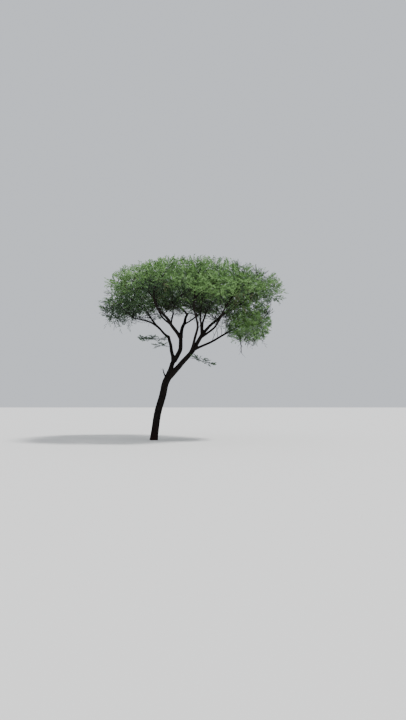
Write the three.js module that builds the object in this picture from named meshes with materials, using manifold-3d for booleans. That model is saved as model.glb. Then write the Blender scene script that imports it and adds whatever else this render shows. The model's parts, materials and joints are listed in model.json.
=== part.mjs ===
// An umbrella acacia: a leaning trunk that forks low into two leaders, boughs that fan out from
// them, and a wide flat-topped crown of separate leafy masses, with a few small sprays below it.
// Millimetres, +Z up. The origin is the middle of the flat cut at the trunk's foot. +X is the way
// the tree leans.

import * as THREE from 'three';
import { mergeVertices } from 'three/addons/utils/BufferGeometryUtils.js';
import Module from 'manifold-3d';

const wasm = await Module();
wasm.setup();

// The crown: a low dome, thickest in the middle. `drop` is how far its top, and `sag` how far its
// underside, lies lower at the rim of each side than in the middle. A sag below nothing is a rise.
const CROWN = {
  x: 1500,
  y: 0,
  halfWidth: 4120,
  halfDepth: 3950,
  top: 7720,
  drop: { left: 950, right: 600, front: 1350, back: 900 },
  underside: 5780,
  sag: { left: 1550, right: 100, front: 550, back: -550 },
};
// The broad waves of its underside: where each is, how wide, and how far it rises.
const UNDERSIDE_WAVES = [
  { x: 450, y: -2500, radius: 1500, rise: 450 },
  { x: 2450, y: 300, radius: 1250, rise: -480 },
];
// The notch in its left rim, a groove from front to back above the leaves that hang lowest there.
const NOTCH = { x: -2500, z: 5950, halfWidth: 1000, halfHeight: 330 };
// The broad lobes of its outline in plan: how many, how deep and where they start, in radians.
const CROWN_LOBES = [{ count: 5, depth: 0.02, start: 1 }, { count: 9, depth: 0.015, start: 0 }];
// How square the crown and the skirt are at the edge of their outline and of their section.
const SQUARENESS = { outline: 5, section: 3 };

// The skirt: leaves that hang lower than the rest on the side that the tree leans to.
const SKIRT = {
  x: 3980, y: -100, z: 5030, halfWidth: 960, halfDepth: 1300, halfHeight: 910, heartZ: 4800,
};

// The trunk's root flare: how much wider the foot is, how fast that dies away, and its lobes.
const FLARE = { share: 0.12, height: 260, lobes: 5, lobeShare: 0.08, ringPower: 1.35 };

// Every limb runs from a place on its parent to its tip, in one bend. It leaves its parent at
// `tilt` degrees off the vertical toward the compass angle `toward` (0 is +X and 90 is +Y), and
// `bow` is how far it holds that way, as a share of its length. Radii are at its base and its tip.
const LIMBS = [
  {
    name: 'trunk', tip: [720, 0, 2800], radii: [158, 148],
    tilt: 7.3, toward: 0, bow: 0.82,
  },
  {
    name: 'right_leader', tip: [2080, -500, 4500], radii: [122, 72],
    parent: 'trunk', at: 0.97, tilt: 50, toward: -8,
  },
  {
    name: 'left_leader', tip: [845, 120, 3420], radii: [108, 92],
    parent: 'trunk', at: 0.93, tilt: 14, toward: 20,
  },
  {
    name: 'middle_leader', tip: [1110, 100, 4400], radii: [98, 84],
    parent: 'left_leader', at: 0.94, tilt: 45, toward: 0,
  },
  {
    name: 'left_rise', tip: [580, 450, 4430], radii: [78, 63],
    parent: 'left_leader', at: 0.92, tilt: 14, toward: 140,
  },
  {
    name: 'left_back_bough', tip: [-430, 1150, 5620], radii: [54, 33],
    parent: 'left_rise', at: 0.98, tilt: 56, toward: 160, bow: 0.33,
  },
  {
    name: 'left_bough', tip: [-750, -420, 5100], radii: [42, 28],
    parent: 'left_back_bough', at: 0.36, tilt: 63, toward: 228, bow: 0.48,
  },
  {
    name: 'front_left_bough', tip: [270, -1950, 5330], radii: [78, 42],
    parent: 'middle_leader', at: 0.97, tilt: 52, toward: 235,
  },
  {
    name: 'inner_left_bough', tip: [150, -640, 5580], radii: [42, 28],
    parent: 'front_left_bough', at: 0.36, tilt: 62, toward: 190,
  },
  {
    name: 'centre_left_bough', tip: [800, 560, 5740], radii: [38, 27],
    parent: 'front_left_bough', at: 0.36, tilt: 25, toward: 70,
  },
  {
    name: 'back_leader', tip: [1380, 1600, 5600], radii: [82, 50],
    parent: 'middle_leader', at: 0.97, tilt: 38, toward: 80,
  },
  {
    name: 'back_left_bough', tip: [930, 2220, 6060], radii: [42, 30],
    parent: 'back_leader', at: 0.94, tilt: 46, toward: 130,
  },
  {
    name: 'back_bough', tip: [1900, 2080, 5720], radii: [36, 28],
    parent: 'back_leader', at: 0.45, tilt: 60, toward: 20,
  },
  {
    name: 'front_bough', tip: [1720, -2300, 5200], radii: [61, 36],
    parent: 'right_leader', at: 0.52, tilt: 36, toward: -47,
  },
  {
    name: 'right_low_bough', tip: [3380, -400, 4680], radii: [54, 35],
    parent: 'right_leader', at: 0.64, tilt: 68, toward: 0,
  },
  {
    name: 'front_right_bough', tip: [2850, -1750, 5120], radii: [52, 32],
    parent: 'right_leader', at: 0.9, tilt: 70, toward: -35,
  },
  {
    name: 'right_back_bough', tip: [3150, 950, 5640], radii: [67, 39],
    parent: 'right_leader', at: 0.97, tilt: 48, toward: 40,
  },
  {
    name: 'right_bough', tip: [3480, -80, 5640], radii: [50, 32],
    parent: 'right_back_bough', at: 0.5, tilt: 50, toward: -10,
  },
  {
    name: 'centre_right_bough', tip: [2280, 620, 5660], radii: [50, 30],
    parent: 'right_leader', at: 0.96, tilt: 24, toward: 85,
  },
  {
    name: 'centre_front_bough', tip: [2030, -1000, 5660], radii: [46, 30],
    parent: 'right_leader', at: 0.95, tilt: 22, toward: -110,
  },
  {
    name: 'drooping_twig', tip: [3680, -420, 3640], radii: [34, 14],
    parent: 'right_low_bough', at: 0.93, tilt: 72, toward: -5, bow: 0.45,
  },
  {
    name: 'broken_stub', tip: [400, 0, 2900], radii: [50, 22],
    parent: 'trunk', at: 0.9, tilt: 35, toward: 180,
  },
];
const USUAL_BOW = 0.5;
// A limb's crook: how far it sways, as a share of its length, and how many half waves it makes.
const CROOK = { share: 0.012, halfWaves: 3 };
// The fineness of a limb's solid: its rings, and its sides, which grow with its thickness.
const LIMB_RINGS = { spacing: 400, fewest: 4, most: 14 };
const LIMB_SIDES = { trunk: 14, fewest: 4.4, radiusPerSide: 40 };

// The masses of leaf round the crown's rim, each with the bough that feeds it, by equal angles
// from the right and round by the back, and the masses inside them.
const RIM_MASSES = [
  ['crown_right', 'right_bough'],
  ['crown_right_back', 'right_back_bough'],
  ['crown_back', 'back_bough'],
  ['crown_back_left', 'back_left_bough'],
  ['crown_left_back', 'left_back_bough'],
  ['crown_left', 'left_bough'],
  ['crown_front_left', 'front_left_bough'],
  ['crown_front', 'front_bough'],
  ['crown_front_right', 'front_right_bough'],
];
const INNER_MASSES = [
  ['crown_inner_right', 'centre_right_bough'],
  ['crown_inner_back', 'centre_left_bough'],
  ['crown_inner_left', 'inner_left_bough'],
  ['crown_inner_front', 'centre_front_bough'],
];
// Where the two rings of hearts lie, as shares of the crown's half width, and their first angles.
const RIM_RING = { share: 0.7, firstAngle: 0 };
const INNER_RING = { share: 0.3, firstAngle: 30 };

// The small sprays that grow straight off a limb under the crown.
const LOW_SPRAYS = [
  {
    name: 'low_spray_left', middle: [-60, 430, 4400], half: [620, 240, 130],
    parent: 'left_rise', at: 0.86, count: 4,
  },
  {
    name: 'low_spray_fork', middle: [240, 300, 4060], half: [300, 160, 110],
    parent: 'left_rise', at: 0.55, count: 2,
  },
  {
    name: 'low_spray_right', middle: [2080, -480, 3330], half: [560, 240, 170],
    parent: 'right_leader', at: 0.46, count: 3,
  },
];

// The first seeds of the crown's masses, the low sprays and the limbs.
const CROWN_SEED = 2528;
const LOW_SPRAY_SEED = 300;
const LIMB_SEED = 11;

// How twigs fork and taper: a run is a share of the way to the middle of its sprays, and keeps
// some of its parent's heading. A twig's radius grows with the number of sprays that it feeds.
const SPRAYS_IN_A_MASS = 8;
const TWIG = { radius: 9, sides: 3, taperPower: 0.46, tipShare: 0.6 };
const FORK = { shortest: 0.3, spread: 0.2, straightness: 0.8, rootSunk: 0.8 };
// How many places are tried for each twig's end, and how far they keep inside the crown and the
// mass's own space.
const SPREADING = { goodPlaces: 12, mostTries: 4000 };
const SPRAY_INSET = 380;
const SPRAY_DEPTH = 230;

// A leaf stands for a spray of feathery ones, so it is far larger than life.
const LEAF = { length: 800, width: 480, thickness: 12 };
// Where leaves stand on the last stretch of a twig, as a share of it, and the way they turn off.
const LEAF_STATIONS = [
  { place: 0.94, turn: 0 }, { place: 0.76, turn: 55 }, { place: 0.58, turn: -55 }, { place: 0.4, turn: 60 },
];
// How much a leaf varies: its turn and its bank in degrees, its climb and its length as shares.
const LEAF_VARIETY = { turn: 50, bank: 60, climb: [-0.4, 0.5], length: [0.85, 1.15] };
// The sizes that a leaf is tried at, and how far apart leaves keep, as a share of their length.
const LEAF_SIZES = [1, 1, 0.9, 0.8, 0.7, 0.6, 0.5];
const LEAF_APART = 0.42;
const LOW_LEAF_SIZE = 0.4;

// Clearances: between touching pieces, round each mass's own space, and round the limbs, whose
// distance is measured from points along them.
const GAP = 0.3;
const SPACE_MARGIN = 14;
const LIMB_MARGIN = 12;
const LIMB_TESTS = 24;
const LOW_SPRAY_ROOM = 250;

// A mass owns what is nearer to its heart than to any other's. Heights weigh more, so that its
// space is flatter than it is wide, and none reaches further from its heart than this.
const HEIGHT_WEIGHT = 1.6;
const MASS_REACH = new THREE.Vector3(1900, 1900, 1500);

const BARK = { color: 0x2a2019, roughness: 0.95, metalness: 0 };
const FOLIAGE = { color: 0x5f8437, roughness: 0.8, metalness: 0 };

const UP = new THREE.Vector3(0, 0, 1);
const MERGE_DISTANCE = 1e-3;

const vector = (values) => new THREE.Vector3(...values);

// The point a distance from another along a unit heading.
const along = (from, heading, distance) => from.clone().addScaledVector(heading, distance);

// A unit vector `tilt` degrees off the vertical, toward a compass angle.
function direction(tilt, toward) {
  const [fall, turn] = [tilt, toward].map(THREE.MathUtils.degToRad);
  return vector([
    Math.sin(fall) * Math.cos(turn), Math.sin(fall) * Math.sin(turn), Math.cos(fall)]);
}

// A repeatable stream of numbers from 0 to 1, by the mulberry32 rule.
function seededRandom(seed) {
  let state = seed >>> 0;
  return () => {
    state = (state + 0x6d2b79f5) >>> 0;
    let mixed = Math.imul(state ^ (state >>> 15), state | 1);
    mixed ^= mixed + Math.imul(mixed ^ (mixed >>> 7), mixed | 61);
    return ((mixed ^ (mixed >>> 14)) >>> 0) / 2 ** 32;
  };
}

// A closed three.js geometry as a solid that can be joined and cut.
function toSolid(geometry) {
  const bare = geometry.clone();
  bare.deleteAttribute('normal');
  bare.deleteAttribute('uv');
  const merged = mergeVertices(bare, MERGE_DISTANCE);
  return new wasm.Manifold(new wasm.Mesh({
    numProp: 3,
    vertProperties: new Float32Array(merged.attributes.position.array),
    triVerts: new Uint32Array(merged.index.array),
  }));
}

// A solid as a three.js geometry.
function toGeometry(solid) {
  const { vertProperties, triVerts } = solid.getMesh();
  const geometry = new THREE.BufferGeometry();
  geometry.setAttribute('position', new THREE.BufferAttribute(new Float32Array(vertProperties), 3));
  geometry.setIndex(new THREE.BufferAttribute(new Uint32Array(triVerts), 1));
  return geometry;
}

// The largest body of a solid, so that a loose scrap is dropped.
function largestBody(solid) {
  return solid.decompose().reduce((a, b) => (a.volume() > b.volume() ? a : b));
}

// A solid as a named three.js mesh with a material of its own. Merging its closest vertices can
// free a scrap, so its largest body is taken before and after that.
function toMesh(name, solid, finish) {
  const geometry = toGeometry(largestBody(toSolid(toGeometry(largestBody(solid)))));
  geometry.computeVertexNormals();
  const mesh = new THREE.Mesh(geometry, new THREE.MeshStandardMaterial(finish));
  mesh.name = name;
  return mesh;
}

// A limb's centreline: one bend from base to tip, with the slight crook of a grown limb.
class LimbCurve extends THREE.Curve {
  constructor(base, limb, seed) {
    super();
    const tip = vector(limb.tip);
    const chord = base.distanceTo(tip);
    const handle = along(base, direction(limb.tilt, limb.toward), (limb.bow ?? USUAL_BOW) * chord);
    const random = seededRandom(seed);
    this.bend = new THREE.QuadraticBezierCurve3(base, handle, tip);
    this.sway = CROOK.share * chord;
    this.starts = [random(), random()].map((share) => share * 2 * Math.PI);
  }

  getPoint(t, target = new THREE.Vector3()) {
    const sway = this.sway * Math.sin(Math.PI * t) ** 2;
    const [x, y] = this.starts.map((start) => sway * Math.sin(CROOK.halfWaves * Math.PI * t + start));
    return this.bend.getPoint(t, target).add(vector([x, y, 0]));
  }
}

// A closed body swept along stations, each a centre, a heading and the radius at an angle round
// it. `flatFoot` lays the first ring level.
function sweptGeometry(stations, sides, flatFoot) {
  const rings = stations.length - 1;
  const geometry = new THREE.CylinderGeometry(1, 1, 1, sides, rings);
  const position = geometry.attributes.position;
  let across = vector([1, 0, 0]);
  const frames = stations.map(({ heading }, ring) => {
    const axis = flatFoot && ring === 0 ? UP : heading;
    if (Math.abs(across.dot(axis)) > 0.9) across = vector([0, 1, 0]);
    across = along(across, axis, -across.dot(axis)).normalize();
    return { across, side: new THREE.Vector3().crossVectors(across, axis) };
  });
  for (let i = 0; i < position.count; i++) {
    const ring = Math.round((position.getY(i) + 0.5) * rings);
    const { centre, radiusAt } = stations[ring];
    const [x, z] = [position.getX(i), position.getZ(i)];
    const radius = radiusAt(Math.atan2(z, x));
    const edge = along(centre, frames[ring].across, x * radius);
    edge.addScaledVector(frames[ring].side, z * radius);
    position.setXYZ(i, edge.x, edge.y, edge.z);
  }
  return geometry;
}

// How thick a limb is at a share of its length and an angle round it. The trunk, which has no
// parent, flares at the foot into a few lobes.
function limbRadius(limb, share, angle = 0) {
  const plain = THREE.MathUtils.lerp(...limb.radii, share);
  if (limb.parent) return plain;
  const flare = Math.exp((-share * limb.length) / FLARE.height);
  return plain * (1 + flare * (FLARE.share + FLARE.lobeShare * Math.sin(FLARE.lobes * angle)));
}

// Works out every limb's curve, in order, each from its parent's.
function placeLimbs() {
  const placed = new Map();
  LIMBS.forEach((limb, index) => {
    const base = limb.parent
      ? placed.get(limb.parent).curve.getPointAt(limb.at)
      : new THREE.Vector3();
    const curve = new LimbCurve(base, limb, LIMB_SEED + index);
    placed.set(limb.name, { ...limb, curve, length: curve.getLength() });
  });
  return placed;
}

// A limb as a solid, grown all round by `extra`. The trunk's rings stand closer together at the
// foot, where it flares.
function limbSolid(limb, extra = 0) {
  const rings = THREE.MathUtils.clamp(
    Math.round(limb.length / LIMB_RINGS.spacing), LIMB_RINGS.fewest, LIMB_RINGS.most);
  const sides = limb.parent
    ? Math.round(LIMB_SIDES.fewest + limb.radii[0] / LIMB_SIDES.radiusPerSide)
    : LIMB_SIDES.trunk;
  const stations = Array.from({ length: rings + 1 }, (_, ring) => {
    const share = (ring / rings) ** (limb.parent ? 1 : FLARE.ringPower);
    const heading = limb.curve.getTangentAt(share);
    return {
      centre: along(limb.curve.getPointAt(share), heading, ring === rings ? extra : 0),
      heading,
      radiusAt: (angle) => limbRadius(limb, share, angle) + extra,
    };
  });
  return toSolid(sweptGeometry(stations, sides, !limb.parent));
}

// The crown over a place in plan: the place in shares of its half width and half depth, and the
// heights of its top and its underside.
function crownOver(x, y) {
  const [u, v] = [(x - CROWN.x) / CROWN.halfWidth, (y - CROWN.y) / CROWN.halfDepth];
  const fall = ({ left, right, front, back }) => (
    (u < 0 ? left : right) * u * u + (v < 0 ? front : back) * v * v);
  const waves = UNDERSIDE_WAVES.map((wave) => (
    wave.rise * Math.exp(-((x - wave.x) ** 2 + (y - wave.y) ** 2) / wave.radius ** 2)));
  return {
    u,
    v,
    top: CROWN.top - fall(CROWN.drop),
    underside: waves.reduce((sum, rise) => sum + rise, CROWN.underside - fall(CROWN.sag)),
  };
}

// Whether a point is in the notch.
function inNotch({ x, z }) {
  return Math.hypot((x - NOTCH.x) / NOTCH.halfWidth, (z - NOTCH.z) / NOTCH.halfHeight) < 1;
}

// How far out the crown's outline lies at an angle in plan, as a share of its half width.
function outlineShare(angle) {
  return CROWN_LOBES.reduce(
    (share, { count, depth, start }) => share - depth * (1 - Math.sin(count * angle + start)), 1);
}

// Whether a point is in the crown, drawn in all round by `inset`.
function inCrown(point, inset) {
  const { u, v, top, underside } = crownOver(point.x, point.y);
  const rim = Math.hypot(u, v) / (outlineShare(Math.atan2(v, u)) - inset / CROWN.halfWidth);
  const rise = (point.z - (top + underside) / 2) / ((top - underside) / 2 - inset);
  return rim ** SQUARENESS.outline + Math.abs(rise) ** SQUARENESS.section <= 1 && !inNotch(point);
}

// Whether a point is in the skirt, drawn in by half of `inset`.
function inSkirt(point, inset) {
  const shares = [
    (point.x - SKIRT.x) / (SKIRT.halfWidth - inset / 2),
    (point.y - SKIRT.y) / (SKIRT.halfDepth - inset / 2),
    (point.z - SKIRT.z) / (SKIRT.halfHeight - inset / 2),
  ];
  return shares.reduce((sum, share) => sum + Math.abs(share) ** SQUARENESS.section, 0) <= 1;
}

// Whether a point is in either of them.
const inFoliage = (point, inset) => inCrown(point, inset) || inSkirt(point, inset);

// The masses of one ring of the crown, by equal angles.
function ringOfMasses(names, { share, firstAngle }) {
  return names.map(([name, bough], index) => {
    const angle = THREE.MathUtils.degToRad(firstAngle + (360 * index) / names.length);
    const x = CROWN.x + share * Math.cos(angle) * CROWN.halfWidth;
    const y = CROWN.y + share * Math.sin(angle) * CROWN.halfDepth;
    const { top, underside } = crownOver(x, y);
    return { name, bough, heart: vector([x, y, (top + underside) / 2]) };
  });
}

// The crown's masses: a heart for each, on two rings and in the skirt.
function crownMasses() {
  return [
    ...ringOfMasses(RIM_MASSES, RIM_RING),
    ...ringOfMasses(INNER_MASSES, INNER_RING),
    {
      name: 'crown_right_skirt',
      bough: 'right_low_bough',
      heart: vector([SKIRT.x, SKIRT.y, SKIRT.heartZ]),
    },
  ];
}

// How far a point is inside the space of one mass, from the nearest plane between two hearts.
function depthInSpace(point, mass, masses) {
  const weighed = (a, b) => vector([a.x - b.x, a.y - b.y, HEIGHT_WEIGHT * (a.z - b.z)]);
  const own = weighed(point, mass.heart).lengthSq();
  return Math.min(...masses.filter((other) => other !== mass).map((other) => {
    const apart = weighed(other.heart, mass.heart).length();
    return (weighed(point, other.heart).lengthSq() - own) / (2 * apart * HEIGHT_WEIGHT);
  }));
}

// Spreads the ends of a mass's twigs evenly: each is the best of a few random places, the one
// furthest from those already chosen.
function spreadSprays(count, random, low, high, allowed) {
  const chosen = [];
  while (chosen.length < count) {
    let best = null;
    let good = 0;
    for (let tries = 0; good < SPREADING.goodPlaces && tries < SPREADING.mostTries; tries++) {
      const place = low.clone().add(high.clone().sub(low).multiply(vector([random(), random(), random()])));
      if (!allowed(place)) continue;
      good += 1;
      const room = Math.min(...chosen.map((other) => other.distanceTo(place)), Infinity);
      if (!best || room > best.room) best = { place, room };
    }
    chosen.push(best.place);
  }
  return chosen;
}

// Splits sprays between the two that are furthest apart, the larger share first.
function halves(sprays) {
  let ends = [sprays[0], sprays[1]];
  sprays.forEach((a) => sprays.forEach((b) => {
    if (a.distanceTo(b) > ends[0].distanceTo(ends[1])) ends = [a, b];
  }));
  const near = sprays.filter((spray) => spray.distanceTo(ends[0]) <= spray.distanceTo(ends[1]));
  const far = sprays.filter((spray) => !near.includes(spray));
  return near.length >= far.length ? [near, far] : [far, near];
}

// The radius of a twig that feeds a number of sprays.
const twigRadius = (count) => TWIG.radius * count ** TWIG.taperPower;

// Grows a stem into twigs. It runs part of the way to the middle of its sprays and forks: the
// stem goes on to the larger half of them, and a new twig starts for the other, until each twig
// ends in one spray. A stretch that isn't `allowed` is skipped, with all that it would carry.
function growTwigs(twig, sprays, random, allowed, twigs) {
  const last = twig[twig.length - 1];
  const radius = twigRadius(sprays.length);
  if (sprays.length === 1) {
    if (!allowed(last.centre, sprays[0], radius)) return;
    const heading = sprays[0].clone().sub(last.centre).normalize();
    twig.push({ centre: sprays[0], heading, radius: radius * TWIG.tipShare });
    twigs.push(twig);
    return;
  }
  const middle = sprays.reduce((sum, spray) => sum.add(spray), new THREE.Vector3());
  const aim = middle.divideScalar(sprays.length).sub(last.centre);
  const run = aim.length() * (FORK.shortest + FORK.spread * random());
  const heading = aim.normalize().addScaledVector(last.heading, FORK.straightness).normalize();
  const fork = { centre: along(last.centre, heading, run), heading, radius };
  if (!allowed(last.centre, fork.centre, radius)) return;
  const [more, fewer] = halves(sprays);
  const sideTwig = {
    centre: along(fork.centre, heading, -FORK.rootSunk * radius),
    heading,
    radius: twigRadius(fewer.length),
  };
  growTwigs([...twig, fork], more, random, allowed, twigs);
  growTwigs([sideTwig], fewer, random, allowed, twigs);
}

// One leaf: a thin pointed blade of eight faces from its root to its tip.
function leafGeometry({ root, tip, upright }) {
  const length = root.distanceTo(tip);
  const course = tip.clone().sub(root).normalize();
  const across = new THREE.Vector3().crossVectors(course, upright).normalize();
  const face = new THREE.Vector3().crossVectors(course, across);
  const geometry = new THREE.OctahedronGeometry(0.5, 0);
  geometry.scale(length, (length * LEAF.width) / LEAF.length, LEAF.thickness);
  geometry.translate(length / 2, 0, 0);
  geometry.applyMatrix4(new THREE.Matrix4().makeBasis(course, across, face));
  geometry.translate(root.x, root.y, root.z);
  return geometry;
}

// Whether a straight stretch keeps clear of every limb but `own`.
function clearOfLimbs(from, to, radius, own) {
  const line = new THREE.Line3(from, to);
  const nearest = new THREE.Vector3();
  return [...limbs.values()].every((limb) => limb.name === own
    || limb.curve.getSpacedPoints(LIMB_TESTS).every((point, i) => {
      line.closestPointToPoint(point, true, nearest);
      const room = limbRadius(limb, i / LIMB_TESTS) + radius + LIMB_MARGIN;
      return nearest.distanceTo(point) > room;
    }));
}

// One try for a leaf: where it would stand, off the last stretch of a twig.
function leafTry(root, heading, turn, length, random) {
  const wander = THREE.MathUtils.degToRad(turn + LEAF_VARIETY.turn * (random() - 0.5));
  const climb = THREE.MathUtils.lerp(...LEAF_VARIETY.climb, random());
  const course = along(heading.clone().applyAxisAngle(UP, wander), UP, climb).normalize();
  const reach = length * THREE.MathUtils.lerp(...LEAF_VARIETY.length, random());
  return { root, reach, middle: along(root, course, reach / 2), tip: along(root, course, reach) };
}

// Adds the leaves of one twig, on its last stretch. Each is tried a few times, ever smaller, and
// is skipped if it never keeps to the mass's own space, clear of the limbs and of other leaves.
function addLeaves(twig, { size, inSpace, random }, leaves) {
  const [before, end] = twig.slice(-2);
  const stretch = end.centre.distanceTo(before.centre);
  for (const { place, turn } of LEAF_STATIONS) {
    const root = along(end.centre, end.heading, (place - 1) * stretch);
    for (const shrink of LEAF_SIZES) {
      const leaf = leafTry(root, end.heading, turn, LEAF.length * size * shrink, random);
      const halfWidth = (leaf.reach * LEAF.width) / LEAF.length / 2;
      const fits = inSpace(leaf.tip) && clearOfLimbs(root, leaf.tip, halfWidth, null)
        && leaves.every(({ middle }) => middle.distanceTo(leaf.middle) > LEAF_APART * leaf.reach);
      if (fits) {
        leaves.push({ ...leaf, upright: direction(LEAF_VARIETY.bank * random(), 360 * random()) });
        break;
      }
    }
  }
}

// A mass of twigs and leaves as one solid, on a stem that stands on its bough's tip or side.
function leafyMass(mass) {
  const { stem, sprays, bough, ownSpace, random } = mass;
  const allowed = (from, to, radius) => ownSpace(to)
    && (from === stem.centre || clearOfLimbs(from, to, radius, bough));
  const twigs = [];
  const leaves = [];
  growTwigs([stem], sprays, random, allowed, twigs);
  twigs.forEach((twig) => addLeaves(twig, mass, leaves));
  const wood = twigs.map((twig) => sweptGeometry(
    twig.map((station) => ({ ...station, radiusAt: () => station.radius })), TWIG.sides, false));
  const bodies = [...wood, ...leaves.map(leafGeometry)].map(toSolid);
  return wasm.Manifold.union(bodies).subtract(limbSolid(limbs.get(bough), GAP));
}

// A mass of the crown, whose stem stands on the tip of its bough.
function crownMass(mass, masses, seed) {
  const random = seededRandom(seed);
  const { curve } = limbs.get(mass.bough);
  const heading = curve.getTangentAt(1);
  const ownSpace = (point) => depthInSpace(point, mass, masses) > SPACE_MARGIN;
  const sprays = spreadSprays(
    SPRAYS_IN_A_MASS, random,
    mass.heart.clone().sub(MASS_REACH), mass.heart.clone().add(MASS_REACH),
    (point) => inFoliage(point, SPRAY_INSET) && depthInSpace(point, mass, masses) > SPRAY_DEPTH);
  return leafyMass({
    stem: { centre: along(curve.getPointAt(1), heading, GAP), heading, radius: twigRadius(sprays.length) },
    sprays,
    bough: mass.bough,
    size: 1,
    ownSpace,
    inSpace: (point) => ownSpace(point) && inFoliage(point, 0),
    random,
  });
}

// A small spray, whose stem stands on the side of a limb.
function lowSpray(spray, seed) {
  const random = seededRandom(seed);
  const [middle, half] = [vector(spray.middle), vector(spray.half)];
  const centre = limbs.get(spray.parent).curve.getPointAt(spray.at);
  const ownBox = new THREE.Box3(middle.clone().sub(half), middle.clone().add(half));
  const sprays = spreadSprays(spray.count, random, ownBox.min.clone(), ownBox.max.clone(), () => true);
  ownBox.expandByScalar(LOW_SPRAY_ROOM);
  const inSpace = (point) => ownBox.containsPoint(point);
  return leafyMass({
    stem: { centre, heading: middle.sub(centre).normalize(), radius: twigRadius(sprays.length) },
    sprays,
    bough: spray.parent,
    size: LOW_LEAF_SIZE,
    ownSpace: inSpace,
    inSpace,
    random,
  });
}

const limbs = placeLimbs();
const tree = new THREE.Group();

// Each limb is cut clear of those before it, so that they touch and don't overlap.
const grownLimbs = [];
for (const limb of limbs.values()) {
  const solid = grownLimbs.reduce((rest, earlier) => rest.subtract(earlier), limbSolid(limb));
  tree.add(toMesh(limb.name, solid, BARK));
  grownLimbs.push(limbSolid(limb, GAP));
}

crownMasses().forEach((mass, index, masses) => {
  tree.add(toMesh(mass.name, crownMass(mass, masses, CROWN_SEED + index), FOLIAGE));
});

LOW_SPRAYS.forEach((spray, index) => {
  tree.add(toMesh(spray.name, lowSpray(spray, LOW_SPRAY_SEED + index), FOLIAGE));
});

export default tree;
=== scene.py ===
"""Dresses the acacia tree: barked trunk and boughs, fine twigs, feathery leaves, a plain studio.

Metres, +Z up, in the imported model's own frame. The origin is the middle of the flat cut at the
trunk's foot, +X is the way the tree leans and +Y is its back.
"""

import sys

import itertools
import json
import logging
import math
from collections.abc import Callable
from dataclasses import dataclass, field, fields
from enum import Enum

import bmesh
import bpy
import numpy as np
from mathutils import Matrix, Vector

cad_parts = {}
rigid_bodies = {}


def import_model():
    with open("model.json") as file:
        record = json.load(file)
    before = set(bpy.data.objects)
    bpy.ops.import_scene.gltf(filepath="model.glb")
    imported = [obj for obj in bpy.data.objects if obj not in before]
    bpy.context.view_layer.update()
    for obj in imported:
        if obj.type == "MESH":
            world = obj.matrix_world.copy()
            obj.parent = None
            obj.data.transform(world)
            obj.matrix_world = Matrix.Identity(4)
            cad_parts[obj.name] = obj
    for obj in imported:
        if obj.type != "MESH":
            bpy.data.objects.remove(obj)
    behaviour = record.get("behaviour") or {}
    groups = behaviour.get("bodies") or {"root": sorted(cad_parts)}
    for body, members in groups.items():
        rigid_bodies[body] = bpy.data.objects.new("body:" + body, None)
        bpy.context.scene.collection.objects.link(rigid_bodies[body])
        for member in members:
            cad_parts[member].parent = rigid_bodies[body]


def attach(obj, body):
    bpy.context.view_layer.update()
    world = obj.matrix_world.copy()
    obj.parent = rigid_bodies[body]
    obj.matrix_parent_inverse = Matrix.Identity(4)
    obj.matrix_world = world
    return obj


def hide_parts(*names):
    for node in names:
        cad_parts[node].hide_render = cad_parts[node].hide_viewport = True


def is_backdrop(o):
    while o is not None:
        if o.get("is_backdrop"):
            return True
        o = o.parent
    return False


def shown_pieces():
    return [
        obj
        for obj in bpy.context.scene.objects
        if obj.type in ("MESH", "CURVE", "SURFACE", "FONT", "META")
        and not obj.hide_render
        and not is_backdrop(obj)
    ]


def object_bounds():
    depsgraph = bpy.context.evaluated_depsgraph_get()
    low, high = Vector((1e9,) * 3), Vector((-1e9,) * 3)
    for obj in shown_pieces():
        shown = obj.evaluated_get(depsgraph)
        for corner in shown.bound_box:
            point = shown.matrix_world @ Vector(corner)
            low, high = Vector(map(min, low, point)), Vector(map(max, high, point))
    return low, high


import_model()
CAD_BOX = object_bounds()

log = logging.getLogger("acacia")

Array = np.ndarray
Colour = tuple[float, float, float]
Place = tuple[float, float, float]

BODY = "root"
UP = np.array([0.0, 0.0, 1.0])
TINY = 1e-12

# The first seeds of the crown's masses, the low sprays, the limbs and the bark.
CROWN_SEED = 2528
LOW_SPRAY_SEED = 300
LIMB_SEED = 11
BARK_SEED = 7

# The factors that mix a whole-number place and a seed into one random value.
PLACE_MIX = np.array([374761393, 668265263, 2147483647])
SEED_MIX = 974634777
SCRAMBLE = 1274126177
WORD = 0xFFFFFFFF


def unit(vectors: Array) -> Array:
    """Scales vectors to a length of one.

    Args:
        vectors: One vector, or an array of them.

    Returns:
        The same vectors, each one metre long.
    """
    lengths = np.linalg.norm(vectors, axis=-1, keepdims=True)
    return vectors / np.maximum(lengths, TINY)


def direction(tilt: float, toward: float) -> Array:
    """A unit vector `tilt` degrees off the vertical, toward a compass angle.

    Args:
        tilt: Degrees from straight up.
        toward: Compass angle in degrees, 0 along +X and 90 along +Y.

    Returns:
        The unit vector.
    """
    fall, turn = math.radians(tilt), math.radians(toward)
    return np.array([math.sin(fall) * math.cos(turn), math.sin(fall) * math.sin(turn), math.cos(fall)])


def turned(vectors: Array, angles: Array) -> Array:
    """Turns vectors about the vertical.

    Args:
        vectors: An array of vectors.
        angles: One angle for each, in radians.

    Returns:
        The turned vectors.
    """
    cos, sin = np.cos(angles), np.sin(angles)
    x, y = vectors[..., 0], vectors[..., 1]
    return np.stack([x * cos - y * sin, x * sin + y * cos, vectors[..., 2]], axis=-1)


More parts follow.
